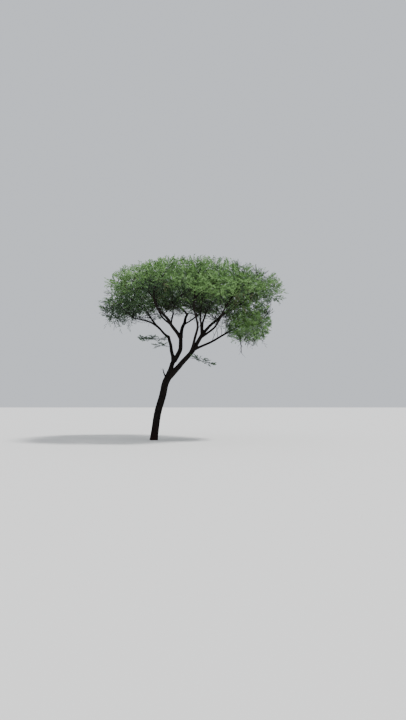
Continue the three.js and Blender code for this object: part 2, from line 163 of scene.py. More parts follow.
def lattice_noise(points: Array, seed: int) -> Array:
    """Smooth random values over space, one metre between the random ones.

    Args:
        points: Places, as rows.
        seed: Which field of values.

    Returns:
        A value from -1 to 1 for each place.
    """
    cell = np.floor(points).astype(np.int64)
    within = points - cell
    ease = within * within * (3 - 2 * within)
    total = np.zeros(len(points))
    for corner in itertools.product((0, 1), repeat=3):
        mixed = ((cell + corner) @ PLACE_MIX + seed * SEED_MIX) & WORD
        mixed = ((mixed ^ (mixed >> 13)) * SCRAMBLE) & WORD
        value = (mixed ^ (mixed >> 16)) / 2**31 - 1
        total += value * np.prod(np.where(corner, ease, 1 - ease), axis=1)
    return total


class SeededStream:
    """A repeatable stream of numbers from 0 to 1, by the mulberry32 rule that places the limbs."""

    STEP = 0x6D2B79F5

    def __init__(self, seed: int) -> None:
        """Starts the stream at a seed."""
        self.state = seed & WORD

    def next(self) -> float:
        """Steps the stream on.

        Returns:
            Its next number.
        """
        self.state = (self.state + self.STEP) & WORD
        mixed = (self.state ^ (self.state >> 15)) * (self.state | 1) & WORD
        mixed ^= (mixed + ((mixed ^ (mixed >> 7)) * (mixed | 61) & WORD)) & WORD
        return (mixed ^ (mixed >> 14)) / 2**32


@dataclass(frozen=True)
class LimbSpec:
    """One limb: where it starts on its parent, which way it leaves it, its tip and its radii."""

    name: str
    tip: Place
    radii: tuple[float, float]
    tilt: float
    toward: float
    parent: str | None = None
    at: float = 1.0
    bow: float = 0.5


LIMBS = (
    LimbSpec("trunk", (0.72, 0, 2.8), (0.158, 0.148), 7.3, 0, bow=0.82),
    LimbSpec("right_leader", (2.08, -0.5, 4.5), (0.122, 0.072), 50, -8, "trunk", 0.97),
    LimbSpec("left_leader", (0.845, 0.12, 3.42), (0.108, 0.092), 14, 20, "trunk", 0.93),
    LimbSpec("middle_leader", (1.11, 0.1, 4.4), (0.098, 0.084), 45, 0, "left_leader", 0.94),
    LimbSpec("left_rise", (0.58, 0.45, 4.43), (0.078, 0.063), 14, 140, "left_leader", 0.92),
    LimbSpec("left_back_bough", (-0.43, 1.15, 5.62), (0.054, 0.033), 56, 160, "left_rise", 0.98, 0.33),
    LimbSpec("left_bough", (-0.75, -0.42, 5.1), (0.042, 0.028), 63, 228, "left_back_bough", 0.36, 0.48),
    LimbSpec("front_left_bough", (0.27, -1.95, 5.33), (0.078, 0.042), 52, 235, "middle_leader", 0.97),
    LimbSpec("inner_left_bough", (0.15, -0.64, 5.58), (0.042, 0.028), 62, 190, "front_left_bough", 0.36),
    LimbSpec("centre_left_bough", (0.8, 0.56, 5.74), (0.038, 0.027), 25, 70, "front_left_bough", 0.36),
    LimbSpec("back_leader", (1.38, 1.6, 5.6), (0.082, 0.05), 38, 80, "middle_leader", 0.97),
    LimbSpec("back_left_bough", (0.93, 2.22, 6.06), (0.042, 0.03), 46, 130, "back_leader", 0.94),
    LimbSpec("back_bough", (1.9, 2.08, 5.72), (0.036, 0.028), 60, 20, "back_leader", 0.45),
    LimbSpec("front_bough", (1.72, -2.3, 5.2), (0.061, 0.036), 36, -47, "right_leader", 0.52),
    LimbSpec("right_low_bough", (3.38, -0.4, 4.68), (0.054, 0.035), 68, 0, "right_leader", 0.64),
    LimbSpec("front_right_bough", (2.85, -1.75, 5.12), (0.052, 0.032), 70, -35, "right_leader", 0.9),
    LimbSpec("right_back_bough", (3.15, 0.95, 5.64), (0.067, 0.039), 48, 40, "right_leader", 0.97),
    LimbSpec("right_bough", (3.48, -0.08, 5.64), (0.05, 0.032), 50, -10, "right_back_bough", 0.5),
    LimbSpec("centre_right_bough", (2.28, 0.62, 5.66), (0.05, 0.03), 24, 85, "right_leader", 0.96),
    LimbSpec("centre_front_bough", (2.03, -1.0, 5.66), (0.046, 0.03), 22, -110, "right_leader", 0.95),
    LimbSpec("drooping_twig", (3.68, -0.42, 3.64), (0.034, 0.014), 72, -5, "right_low_bough", 0.93, 0.45),
    LimbSpec("broken_stub", (0.4, 0, 2.9), (0.05, 0.022), 35, 180, "trunk", 0.9),
)
THIN_LIMBS = ("drooping_twig", "broken_stub")


@dataclass(frozen=True)
class RootFlare:
    """How much wider the trunk's foot is, how fast that dies away upward, and its lobes."""

    share: float = 0.12
    height: float = 0.26
    lobes: int = 5
    lobe_share: float = 0.08

    def widening(self, distance: Array, angle: Array) -> Array:
        """The factor on the trunk's radius at a distance up it and an angle round it."""
        fade = np.exp(-distance / self.height)
        return 1 + fade * (self.share + self.lobe_share * np.sin(self.lobes * angle))


class LimbLine:
    """A limb's centreline, as packed: one bend from base to tip, with a slight crook."""

    SAMPLES = 401
    HEADING_STEP = 4e-3
    CROOK_SHARE = 0.012
    CROOK_HALF_WAVES = 3
    FLARE = RootFlare()

    def __init__(self, spec: LimbSpec, base: Array, seed: int) -> None:
        """Works out the line.

        Args:
            spec: The limb's sizes.
            base: Its start, on its parent's line.
            seed: The seed of its crook.
        """
        self.spec = spec
        tip = np.array(spec.tip, float)
        chord = float(np.linalg.norm(tip - base))
        handle = base + direction(spec.tilt, spec.toward) * spec.bow * chord
        stream = SeededStream(seed)
        starts = [stream.next() * 2 * math.pi for _ in "xy"]
        t = np.linspace(0, 1, self.SAMPLES)[:, None]
        points = (1 - t) ** 2 * base + 2 * t * (1 - t) * handle + t**2 * tip
        sway = self.CROOK_SHARE * chord * np.sin(math.pi * t[:, 0]) ** 2
        for axis, start in enumerate(starts):
            points[:, axis] += sway * np.sin(self.CROOK_HALF_WAVES * math.pi * t[:, 0] + start)
        self.points = points
        self.arc = np.concatenate([[0.0], np.cumsum(np.linalg.norm(np.diff(points, axis=0), axis=1))])
        self.length = float(self.arc[-1])

    def point(self, share: Array | float) -> Array:
        """The place at a share of the limb's length."""
        along = np.asarray(share, float) * self.length
        return np.stack([np.interp(along, self.arc, self.points[:, i]) for i in range(3)], axis=-1)

    def heading(self, share: Array | float) -> Array:
        """The limb's unit heading.

        Args:
            share: One share of its length, or many.

        Returns:
            The heading at each share.
        """
        share = np.asarray(share, float)
        ahead = self.point(np.minimum(share + self.HEADING_STEP, 1))
        return unit(ahead - self.point(np.maximum(share - self.HEADING_STEP, 0)))

    def radius(self, share: Array | float, angle: Array | float = 0.0) -> Array:
        """The limb's radius, which the angle changes at the trunk's flare alone.

        Args:
            share: One share of its length, or many.
            angle: One angle round it, or many.

        Returns:
            The radius at each share and angle.
        """
        share = np.asarray(share, float)
        base, tip = self.spec.radii
        plain = base + (tip - base) * share
        if self.spec.parent:
            return np.broadcast_arrays(plain, angle)[0]
        return plain * self.FLARE.widening(share * self.length, np.asarray(angle, float))


class Skeleton:
    """All of the tree's limbs, each placed on its parent."""

    TESTS = 24

    def __init__(self) -> None:
        """Places the limbs in order, and samples them for the tests on clearance."""
        self.lines: dict[str, LimbLine] = {}
        for index, spec in enumerate(LIMBS):
            base = self.lines[spec.parent].point(spec.at) if spec.parent else np.zeros(3)
            self.lines[spec.name] = LimbLine(spec, base, LIMB_SEED + index)
        shares = np.linspace(0, 1, self.TESTS + 1)
        self.names = np.repeat([spec.name for spec in LIMBS], len(shares))
        self.tests = np.concatenate([line.point(shares) for line in self.lines.values()])
        self.radii = np.concatenate([line.radius(shares) for line in self.lines.values()])

    def clear(self, start: Array, end: Array, room: float, own: str | None = None) -> bool:
        """Whether a straight stretch keeps clear of every limb but its own.

        Args:
            start: One end of the stretch.
            end: The other end.
            room: How far it keeps from a limb's surface.
            own: The limb that it grows from.

        Returns:
            True if nothing is in its way.
        """
        along = end - start
        share = np.clip((self.tests - start) @ along / max(along @ along, TINY), 0, 1)
        apart = np.linalg.norm(self.tests - (start + share[:, None] * along), axis=1)
        return bool(np.all((apart > self.radii + room) | (self.names == own)))

    def all_clear(self, points: Array, room: float) -> Array:
        """Which of many points keep clear of every limb.

        Args:
            points: Places, as rows.
            room: How far they keep from a limb's surface.

        Returns:
            True for each point that does.
        """
        clear = np.ones(len(points), bool)
        for test, radius in zip(self.tests, self.radii):
            clear &= np.linalg.norm(points - test, axis=1) > radius + room
        return clear


@dataclass(frozen=True)
class Sides:
    """One distance for each side of the crown."""

    left: float
    right: float
    front: float
    back: float

    def at(self, u: Array, v: Array) -> Array:
        """How much of them counts at shares of the crown's half width and half depth."""
        return np.where(u < 0, self.left, self.right) * u**2 + np.where(v < 0, self.front, self.back) * v**2


@dataclass(frozen=True)
class Wave:
    """A broad wave of the crown's underside: where it is, how wide, and how far it rises."""

    x: float
    y: float
    radius: float
    rise: float

    def at(self, x: Array, y: Array) -> Array:
        """Its rise over a place in plan."""
        return self.rise * np.exp(-((x - self.x) ** 2 + (y - self.y) ** 2) / self.radius**2)


@dataclass(frozen=True)
class Notch:
    """The notch in the crown's left rim, a groove from front to back."""

    x: float = -2.5
    z: float = 5.95
    half_width: float = 1.0
    half_height: float = 0.33

    def holds(self, points: Array) -> Array:
        """Which points are in the notch."""
        out, rise = points[..., 0] - self.x, points[..., 2] - self.z
        return np.hypot(out / self.half_width, rise / self.half_height) < 1


@dataclass(frozen=True)
class CrownShape:
    """The crown: a low dome, thickest in the middle. `drop` lowers its top toward the rim of each
    side and `sag` its underside, where a sag below nothing is a rise."""

    x: float = 1.5
    y: float = 0.0
    half_width: float = 4.12
    half_depth: float = 3.95
    top: float = 7.72
    drop: Sides = Sides(0.95, 0.6, 1.35, 0.9)
    underside: float = 5.78
    sag: Sides = Sides(1.55, 0.1, 0.55, -0.55)
    waves: tuple[Wave, ...] = (Wave(0.45, -2.5, 1.5, 0.45), Wave(2.45, 0.3, 1.25, -0.48))
    notch: Notch = Notch()
    lobes: tuple[tuple[int, float, float], ...] = ((5, 0.02, 1.0), (9, 0.015, 0.0))
    outline_power: int = 5
    section_power: int = 3
    thinnest: float = 0.05
    fringe: float = 0.38
    fringe_overlap: float = 0.15

    def shares(self, x: Array, y: Array) -> tuple[Array, Array]:
        """A place in plan, in shares of the crown's half width and half depth."""
        return (x - self.x) / self.half_width, (y - self.y) / self.half_depth

    def heights(self, x: Array, y: Array) -> tuple[Array, Array]:
        """The crown's heights over places in plan.

        Args:
            x: How far each place is along X.
            y: How far each is along Y.

        Returns:
            The height of its top and that of its underside.
        """
        u, v = self.shares(x, y)
        waves = sum(wave.at(x, y) for wave in self.waves)
        return self.top - self.drop.at(u, v), self.underside - self.sag.at(u, v) + waves

    def rise(self, points: Array) -> Array:
        """How far up the crown points lie, from its underside, 0, to its top, 1."""
        top, underside = self.heights(points[..., 0], points[..., 1])
        return (points[..., 2] - underside) / (top - underside)

    def rim(self, points: Array, inset: float) -> Array:
        """How far out points lie in plan.

        Args:
            points: Places, as rows.
            inset: How far the crown's outline is drawn in, in metres.

        Returns:
            A share for each point, from the middle, 0, to the outline, 1.
        """
        u, v = self.shares(points[..., 0], points[..., 1])
        angle = np.arctan2(v, u)
        outline = 1 - sum(depth * (1 - np.sin(count * angle + start)) for count, depth, start in self.lobes)
        return np.hypot(u, v) / (outline - inset / self.half_width)

    def holds(self, points: Array, inset: float) -> Array:
        """Which points are in the crown, drawn in all round.

        Args:
            points: Places, as rows.
            inset: How far the crown is drawn in, in metres.

        Returns:
            True for each point inside.
        """
        top, underside = self.heights(points[..., 0], points[..., 1])
        half = np.maximum((top - underside) / 2 - inset, self.thinnest)
        rise = np.abs((points[..., 2] - (top + underside) / 2) / half)
        inside = self.rim(points, inset) ** self.outline_power + rise**self.section_power <= 1
        return inside & ~self.notch.holds(points)

    def fringes(self, points: Array) -> Array:
        """Which points are in the sparse fringe that hangs just under the crown.

        Args:
            points: Places, as rows.

        Returns:
            True for each point in it.
        """
        _, underside = self.heights(points[..., 0], points[..., 1])
        hang = underside - points[..., 2]
        inside = (hang > -self.fringe_overlap) & (hang < self.fringe)
        return inside & (self.rim(points, self.fringe_overlap) < 1) & ~self.notch.holds(points)

    def heart(self, share: float, angle: float) -> Array:
        """A place half way up the crown.

        Args:
            share: How far out it is, as a share of the half width and half depth.
            angle: The way to it in plan, in radians.

        Returns:
            The place.
        """
        x = self.x + share * math.cos(angle) * self.half_width
        y = self.y + share * math.sin(angle) * self.half_depth
        return np.array([x, y, sum(self.heights(x, y)) / 2])


@dataclass(frozen=True)
class SkirtShape:
    """The skirt: leaves that hang lower than the rest, on the side that the tree leans to."""

    centre: Place = (3.98, -0.1, 5.03)
    half: Place = (0.96, 1.3, 0.91)
    heart_height: float = 4.8
    power: int = 3
    fringe: float = 0.3
    fringe_overlap: float = 0.25
    fringe_spread: float = 0.8

    def holds(self, points: Array, inset: float) -> Array:
        """Which points are in the skirt, drawn in by half of `inset`."""
        shares = (points - np.array(self.centre)) / (np.array(self.half) - inset / 2)
        return np.sum(np.abs(shares) ** self.power, axis=-1) <= 1

    def fringes(self, points: Array) -> Array:
        """Which points are in the sparse fringe that hangs just under the skirt.

        Args:
            points: Places, as rows.

        Returns:
            True for each point in it.
        """
        shares = np.abs((points - np.array(self.centre)) / np.array(self.half))
        hang = self.centre[2] - self.half[2] - points[..., 2]
        under = shares[..., 0] ** 2 + shares[..., 1] ** 2 < self.fringe_spread
        return under & (hang > -self.fringe_overlap) & (hang < self.fringe)


@dataclass(frozen=True)
class FoliageShape:
    """The crown and the skirt as one."""

    crown: CrownShape = CrownShape()
    skirt: SkirtShape = SkirtShape()

    def holds(self, points: Array, inset: float) -> Array:
        """Which points are in either of them, drawn in by `inset`."""
        return self.crown.holds(points, inset) | self.skirt.holds(points, inset)

    def fringes(self, points: Array) -> Array:
        """Which points are in the fringe of either of them."""
        return self.crown.fringes(points) | self.skirt.fringes(points)


@dataclass(frozen=True)
class PlumeShape:
    """The room round one small low spray: all that is near a line."""

    start: Place
    end: Place
    radius: float

    def holds(self, points: Array, inset: float) -> Array:
        """Which points are in the spray's room.

        Args:
            points: Places, as rows.
            inset: How far the room is drawn in, in metres.

        Returns:
            True for each point inside.
        """
        start, along = np.array(self.start), np.subtract(self.end, self.start)
        share = np.clip((points - start) @ along / (along @ along), 0, 1)
        apart = np.linalg.norm(points - start - share[..., None] * along, axis=-1)
        return apart <= self.radius - inset

    def fringes(self, points: Array) -> Array:
        """Which points are in a fringe under it: none, for it is a sparse spray itself."""
        return np.zeros(points.shape[:-1], bool)


@dataclass(frozen=True)
class Mass:
    """One mass of foliage: the limb that feeds it, its heart and the shape that it keeps to."""

    name: str
    limb: str
    heart: Array
    shape: FoliageShape | PlumeShape
    sprays: int
    reach: Place = (1.9, 1.9, 1.5)
    inset: float = 0.2
    at: float = 1.0
    fringe_sprays: int = 0

    @property
    def on_tip(self) -> bool:
        """Whether its stem stands on the limb's tip, and not on its side."""
        return self.at == 1.0


PLUME_RADIUS = 0.16
PLUME_INSET = 0.05


def low_spray(name: str, limb: str, at: float, start: Place, end: Place, sprays: int) -> Mass:
    """A small low spray, in a narrow plume.

    Args:
        name: Its node.
        limb: The limb that it grows from.
        at: Where on the limb, as a share of its length.
        start: The near end of the plume's middle line.
        end: Its far end.
        sprays: How many twigs it ends in.

    Returns:
        The spray as a mass.
    """
    reach = tuple(abs(b - a) / 2 + PLUME_RADIUS for a, b in zip(start, end))
    shape = PlumeShape(start, end, PLUME_RADIUS)
    return Mass(name, limb, np.add(start, end) / 2, shape, sprays, reach, PLUME_INSET, at)


class Crown:
    """The masses of the crown, each owning what is nearer to its heart than to any other's."""

    SHAPE = FoliageShape()
    RIM = (
        ("crown_right", "right_bough"),
        ("crown_right_back", "right_back_bough"),
        ("crown_back", "back_bough"),
        ("crown_back_left", "back_left_bough"),
        ("crown_left_back", "left_back_bough"),
        ("crown_left", "left_bough"),
        ("crown_front_left", "front_left_bough"),
        ("crown_front", "front_bough"),
        ("crown_front_right", "front_right_bough"),
    )
    INNER = (
        ("crown_inner_right", "centre_right_bough"),
        ("crown_inner_back", "centre_left_bough"),
        ("crown_inner_left", "inner_left_bough"),
        ("crown_inner_front", "centre_front_bough"),
    )
    RIM_SHARE = 0.7
    INNER_SHARE = 0.3
    INNER_FIRST_ANGLE = math.radians(30)
    HEIGHT_WEIGHT = 1.6
    SPRAYS_IN_A_MASS = 138
    SPRAYS_IN_THE_SKIRT = 180
    FRINGE_SPRAYS = 8

    def __init__(self) -> None:
        """Places the hearts of the masses on two rings and in the skirt."""
        self.masses: list[Mass] = []
        self._ring(self.RIM, self.RIM_SHARE, 0.0)
        self._ring(self.INNER, self.INNER_SHARE, self.INNER_FIRST_ANGLE)
        skirt = self.SHAPE.skirt
        skirt_heart = np.array([*skirt.centre[:2], skirt.heart_height])
        self._add("crown_right_skirt", "right_low_bough", skirt_heart, self.SPRAYS_IN_THE_SKIRT)
        self.hearts = np.array([mass.heart for mass in self.masses])
        self.scale = np.array([1, 1, self.HEIGHT_WEIGHT])

    def _ring(self, names: tuple[tuple[str, str], ...], share: float, first: float) -> None:
        """Adds one ring of masses, by equal angles.

        Args:
            names: Each mass's node and the limb that feeds it.
            share: How far out the ring is.
            first: The angle of its first mass, in radians.
        """
        for index, (name, limb) in enumerate(names):
            heart = self.SHAPE.crown.heart(share, first + 2 * math.pi * index / len(names))
            self._add(name, limb, heart, self.SPRAYS_IN_A_MASS)

    def _add(self, name: str, limb: str, heart: Array, sprays: int) -> None:
        """Adds one mass."""
        self.masses.append(Mass(name, limb, heart, self.SHAPE, sprays, fringe_sprays=self.FRINGE_SPRAYS))

    def depth(self, points: Array, mass: Mass) -> Array:
        """How far points are inside a mass's space.

        Args:
            points: Places, as rows.
            mass: The mass.

        Returns:
            Each one's distance from the nearest plane between two hearts, less than 0 outside.
        """
        own = np.sum(((points - mass.heart) * self.scale) ** 2, axis=-1)
        depths = []
        for heart in self.hearts:
            apart = float(np.linalg.norm((heart - mass.heart) * self.scale))
            if apart > 0:
                other = np.sum(((points - heart) * self.scale) ** 2, axis=-1)
                depths.append((other - own) / (2 * apart * self.HEIGHT_WEIGHT))
        return np.min(depths, axis=0)


LOW_SPRAYS = (
    low_spray("low_spray_left", "left_rise", 0.86, (0.42, 0.45, 4.38), (-0.6, 0.43, 4.34), 54),
    low_spray("low_spray_fork", "left_rise", 0.55, (0.55, 0.3, 4.06), (0.02, 0.3, 4.02), 24),
    low_spray("low_spray_right", "right_leader", 0.46, (1.66, -0.46, 3.5), (2.5, -0.48, 3.16), 38),
)


@dataclass
class MeshParts:
    """Vertices and three-cornered faces, gathered piece by piece into one mesh."""

    vertices: list[Array] = field(default_factory=list)
    faces: list[Array] = field(default_factory=list)
    slots: list[Array] = field(default_factory=list)
    count: int = 0

    def add(self, vertices: Array, faces: Array, slot: Array | int = 0) -> None:
        """Adds vertices and the faces that join them.

        Args:
            vertices: The vertices, as rows.
            faces: The faces, by the places of their corners among these vertices.
            slot: The material slot of all the faces, or of each.
        """
        self.vertices.append(vertices)
        self.faces.append(faces + self.count)
        self.slots.append(np.broadcast_to(np.asarray(slot, np.int32), (len(faces),)))
        self.count += len(vertices)

    def build(self, name: str, materials: list[bpy.types.Material], smooth: bool) -> bpy.types.Object:
        """Makes the mesh an object of the scene.

        Args:
            name: The piece's name.
            materials: Its materials, in the order of the slots.
            smooth: Whether its faces are shaded as one smooth surface.

        Returns:
            The new object.
        """
        vertices = np.concatenate(self.vertices).astype(np.float32)
        faces = np.concatenate(self.faces).astype(np.int32)
        mesh = bpy.data.meshes.new(name)
        mesh.vertices.add(len(vertices))
        mesh.vertices.foreach_set("co", vertices.ravel())
        mesh.loops.add(faces.size)
        mesh.loops.foreach_set("vertex_index", faces.ravel())
        mesh.polygons.add(len(faces))
        mesh.polygons.foreach_set("loop_start", np.arange(0, faces.size, 3, dtype=np.int32))
        mesh.polygons.foreach_set("loop_total", np.full(len(faces), 3, np.int32))
        for material in materials:
            mesh.materials.append(material)
        mesh.polygons.foreach_set("material_index", np.concatenate(self.slots).astype(np.int32))
        mesh.polygons.foreach_set("use_smooth", np.full(len(faces), smooth))
        mesh.update(calc_edges=True)
        piece = bpy.data.objects.new(name, mesh)
        bpy.context.scene.collection.objects.link(piece)
        return piece


NEARLY_ALONG = 0.9


def tube(centres: Array, headings: Array, radii: Array, sides: int) -> tuple[Array, Array]:
    """A closed tube along a line.

    Args:
        centres: The middle of each ring.
        headings: Each ring's unit axis.
        radii: Each ring's radius, or a radius for each of its corners.
        sides: The number of corners on a ring.

    Returns:
        Its vertices, the two end centres last, and its faces.
    """
    rings = len(centres)
    across = np.array([1.0, 0.0, 0.0])
    corners = 2 * math.pi * np.arange(sides) / sides
    circle = np.stack([np.cos(corners), np.sin(corners)], axis=1)
    radii = np.broadcast_to(radii if np.ndim(radii) == 2 else np.reshape(radii, (-1, 1)), (rings, sides))
    places = []
    for centre, axis, radius in zip(centres, headings, radii):
        if abs(across @ axis) > NEARLY_ALONG:
            across = np.array([0.0, 1.0, 0.0])
        across = unit(across - axis * (across @ axis))
        side = np.cross(axis, across)
        places.append(centre + (circle[:, :1] * across + circle[:, 1:] * side) * radius[:, None])
    vertices = np.concatenate([*places, centres[:1], centres[-1:]])
    ring = np.arange(sides)
    following = (ring + 1) % sides
    faces = []
    for index in range(rings - 1):
        low, high = index * sides, (index + 1) * sides
        faces.append(np.stack([low + ring, low + following, high + following], axis=1))
        faces.append(np.stack([low + ring, high + following, high + ring], axis=1))
    foot, top, last = rings * sides, rings * sides + 1, (rings - 1) * sides
    faces.append(np.stack([np.full(sides, foot), following, ring], axis=1))
    faces.append(np.stack([np.full(sides, top), last + ring, last + following], axis=1))
    return vertices, np.concatenate(faces)


@dataclass
class Station:
    """A place on a twig: its centre, its heading and the twig's radius there."""

    centre: Array
    heading: Array
    radius: float


Twig = list[Station]


@dataclass(frozen=True)
class TwigRule:
    """The rule by which a stem forks into ever finer twigs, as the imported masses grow."""

    shortest: float = 0.3
    spread: float = 0.2
    straightness: float = 0.8
    tip_share: float = 0.55
    root_sunk: float = 0.8

    def halves(self, sprays: Array) -> tuple[Array, Array]:
        """Splits sprays between the two that are furthest apart.

        Args:
            sprays: Their places, as rows.

        Returns:
            The larger share of them and the smaller.
        """
        apart = np.linalg.norm(sprays[:, None] - sprays[None], axis=2)
        first, second = np.unravel_index(np.argmax(apart), apart.shape)
        near = apart[first] <= apart[second]
        more, fewer = sprays[near], sprays[~near]
        return (more, fewer) if len(more) >= len(fewer) else (fewer, more)

    def grow(
        self,
        twig: Twig,
        sprays: Array,
        width: Callable[[int], float],
        random: np.random.Generator,
        allowed: Callable[[Array, Array, float], bool],
        twigs: list[Twig],
    ) -> None:
        """Grows a stem part of the way to the middle of its sprays, where it forks in two.

        The stem goes on to the larger half of them and a new twig starts for the other, until each
        twig ends in one spray. A stretch that isn't allowed is skipped, with all it would carry.

        Args:
            twig: The stations so far.
            sprays: The ends that the twig feeds, as rows.
            width: The radius of a twig that feeds a number of sprays.
            random: The source of random numbers.
            allowed: Whether a stretch from a place to a place, of a radius, may grow.
            twigs: Gathers the finished twigs.
        """
        last = twig[-1]
        radius = width(len(sprays))
        if len(sprays) == 1:
            if allowed(last.centre, sprays[0], radius):
                heading = unit(sprays[0] - last.centre)
                twigs.append([*twig, Station(sprays[0], heading, radius * self.tip_share)])
            return
        aim = sprays.mean(axis=0) - last.centre
        run = float(np.linalg.norm(aim)) * (self.shortest + self.spread * random.random())
        heading = unit(unit(aim) + self.straightness * last.heading)
        fork = Station(last.centre + heading * run, heading, radius)
        if not allowed(last.centre, fork.centre, radius):
            return
        more, fewer = self.halves(sprays)
        root = Station(fork.centre - heading * self.root_sunk * radius, heading, width(len(fewer)))
        self.grow([*twig, fork], more, width, random, allowed, twigs)
        self.grow([root], fewer, width, random, allowed, twigs)


@dataclass(frozen=True)
class ShootStation:
    """Where a leafy shoot stands on the last stretch of a twig, and the way it turns off."""

    place: float
    turn: float


@dataclass
class Shoots:
    """Leafy shoots, as rows: roots, headings, lengths, the spray of each, and its leaves' scale."""

    roots: Array
    headings: Array
    lengths: Array
    sprays: Array
    scales: Array

    @property
    def tips(self) -> Array:
        """The far end of each shoot."""
        return self.roots + self.headings * self.lengths[:, None]

    def taken(self, chosen: Array) -> "Shoots":
        """The shoots that are chosen."""
        return Shoots(*(getattr(self, item.name)[chosen] for item in fields(self)))


@dataclass(frozen=True)
class Patch:
    """A part of the crown unlike the rest: painted lighter or painted darker, thinner, or drier."""

    centre: Place
    reach: Place
    # Painted light where above 0, painted shade where below 0.
    light: float = 0.0
    thin: float = 0.0
    dry: float = 0.0

    def at(self, points: Array) -> Array:
        """How much of it counts at each point, from 0 to 1."""
        shares = (points - np.array(self.centre)) / np.array(self.reach)
        return np.exp(-np.sum(shares**2, axis=-1))


# The patches: painted light on the left shoulder, the thin left rim, the leafy left tongue, its thin end, the
# two thin edges of the notch over it and its thin underside, painted shade in the hollow under the left of
# the middle and in a patch right of the middle, painted light under that patch and beside it, the dry right,
# the bare right shoulder and painted light on the skirt.
PATCHES = (
    Patch((-0.3, -1.4, 7.1), (1.3, 2.6, 0.5), light=0.12),
    Patch((-2.4, 0.0, 6.8), (0.4, 4.0, 0.8), thin=0.4, dry=0.3),
    Patch((-1.3, -0.6, 5.2), (0.9, 3.0, 0.5), light=-0.3, thin=-0.9),
    Patch((-2.6, 0.0, 5.1), (0.45, 4.0, 0.7), light=-0.2, thin=1.4),
    Patch((-2.3, -1.2, 5.6), (0.6, 0.8, 0.25), thin=1.0),
    Patch((-2.3, 1.2, 6.3), (0.6, 0.8, 0.25), thin=1.0),
    Patch((-1.6, -0.6, 5.0), (0.9, 2.0, 0.22), light=-0.4, thin=0.7),
    Patch((0.3, -2.4, 5.9), (1.0, 1.6, 0.45), light=-0.3, dry=0.3),
    Patch((2.4, -2.4, 6.5), (0.8, 1.5, 0.35), light=-0.28),
    Patch((2.4, -3.0, 5.7), (1.6, 1.6, 0.6), light=0.55),
    Patch((4.1, -2.0, 6.2), (0.8, 1.5, 0.35), light=0.25),
    Patch((3.45, -2.4, 5.4), (0.7, 1.2, 0.35), light=-0.2, dry=0.6),
    Patch((4.6, -0.5, 7.45), (1.15, 2.8, 0.5), light=-0.1, thin=1.8),
    Patch((4.1, -0.9, 4.9), (1.1, 1.4, 0.9), light=0.85, thin=-0.6),
)


@dataclass(frozen=True)
class Thicket:
    """A part of a mass that holds more sprays than the rest, or a tuft that stands out of it."""

    mass: str
    centre: Place
    reach: Place
    sprays: int

    def holds(self, points: Array) -> Array:
        """Which points are in it."""
        shares = (points - np.array(self.centre)) / np.array(self.reach)
        return np.sum(shares**2, axis=-1) < 1


THICKETS = (
    Thicket("crown_left", (-1.35, -0.9, 5.4), (0.85, 1.1, 0.42), 58),
    Thicket("crown_left_back", (-1.35, 0.9, 5.35), (0.85, 1.1, 0.45), 26),
    Thicket("crown_front", (1.75, -2.6, 5.65), (0.6, 0.7, 0.3), 24),
    Thicket("crown_front_right", (2.95, -2.1, 5.6), (0.6, 0.7, 0.3), 22),
    Thicket("crown_right_skirt", (4.05, -0.7, 4.8), (0.9, 1.1, 0.8), 110),
    Thicket("crown_right", (5.1, -0.3, 6.2), (0.6, 1.6, 0.4), 14),
)


@dataclass(frozen=True)
class FoliageSizes:
    """The sizes of twigs, shoots and leaves. A leaf is about twice as large as life."""

    twig_radius: float = 0.0026
    twig_step: float = 0.13
    twig_sides: tuple[tuple[float, int], ...] = ((0.012, 6), (0.005, 4), (0.0, 3))
    low_stem: float = 3
    shoot_length: float = 0.42
    shoot_radius: float = 0.0018
    shoot_rings: tuple[tuple[float, float], ...] = ((0.0, 1.0), (0.5, 0.8))
    shoot_lift: float = 0.12
    shoot_sizes: tuple[float, ...] = (1.0, 0.85, 0.7, 0.55, 0.42)
    shoot_stations: tuple[ShootStation, ...] = (
        ShootStation(0.94, 0), ShootStation(0.72, 46), ShootStation(0.5, -46), ShootStation(0.28, 50),
    )
    turn_variety: float = 40
    climb: tuple[float, float] = (-0.3, 0.55)
    length_variety: tuple[float, float] = (0.8, 1.15)
    leaves_on_a_shoot: int = 9
    first_leaf: float = 0.1
    leaf_scatter: float = 0.6
    leaf_length: float = 0.076
    leaf_variety: tuple[float, float] = (0.75, 1.2)
    leaf_angles: tuple[float, float] = (18, 52)
    leaf_roll: float = 0.6
    leaf_lean: float = 0.55
    leaf_stalk: float = 0.06
    leaf_droop: float = 0.05
    pinna_shares: tuple[float, ...] = (0.3, 0.4, 0.36, 0.24)
    pinna_sweep: float = 0.13
    pinna_lift: float = 0.07
    fringe_scale: float = 0.6
    fringe_bare: float = 0.8
    bare_radius: float = 0.009


@dataclass(frozen=True)
class SideTwigSizes:
    """The thin twigs off the sides of a mass's limb: where they stand, and what they reach for.

    Each reaches for a few places, `nearest` to `furthest` from its root and `lowest` to `highest` over
    the crown's underside, that are picked out of the ones closest together.
    """

    shares: tuple[float, ...] = (0.45, 0.57, 0.67, 0.76, 0.85, 0.93)
    share_variety: float = 0.05
    sprays: int = 6
    radius: float = 0.0042
    nearest: float = 0.25
    furthest: float = 1.1
    lowest: float = -0.65
    highest: float = 0.3
    drop: float = 0.1
    tries: int = 900
    fewest: int = 24
    closest: int = 42
    follow: float = 0.6


@dataclass(frozen=True)
class LightRule:
    """What decides a shoot's tone: its height in the crown, which paints light on the top and shade beneath,
    the patches, broad clouds and chance.
    """

    least: float = 0.16
    height: float = 0.72
    lowest_height: float = -0.1
    clouds: tuple[tuple[float, float], ...] = ((0.2, 1.3), (0.14, 3.1))
    spray_variety: float = 0.12
    shoot_variety: float = 0.15
    # The light of the low sprays under the crown: mostly painted shade.
    low_sprays: tuple[float, float] = (0.1, 0.12)
    dry_cloud: tuple[float, float] = (0.5, 1.7)
    dry_variety: float = 0.2
    dry_limit: float = 0.55
    dry_least_light: float = 0.15
    limits: tuple[float, ...] = (0.2, 0.4, 0.62, 0.86)


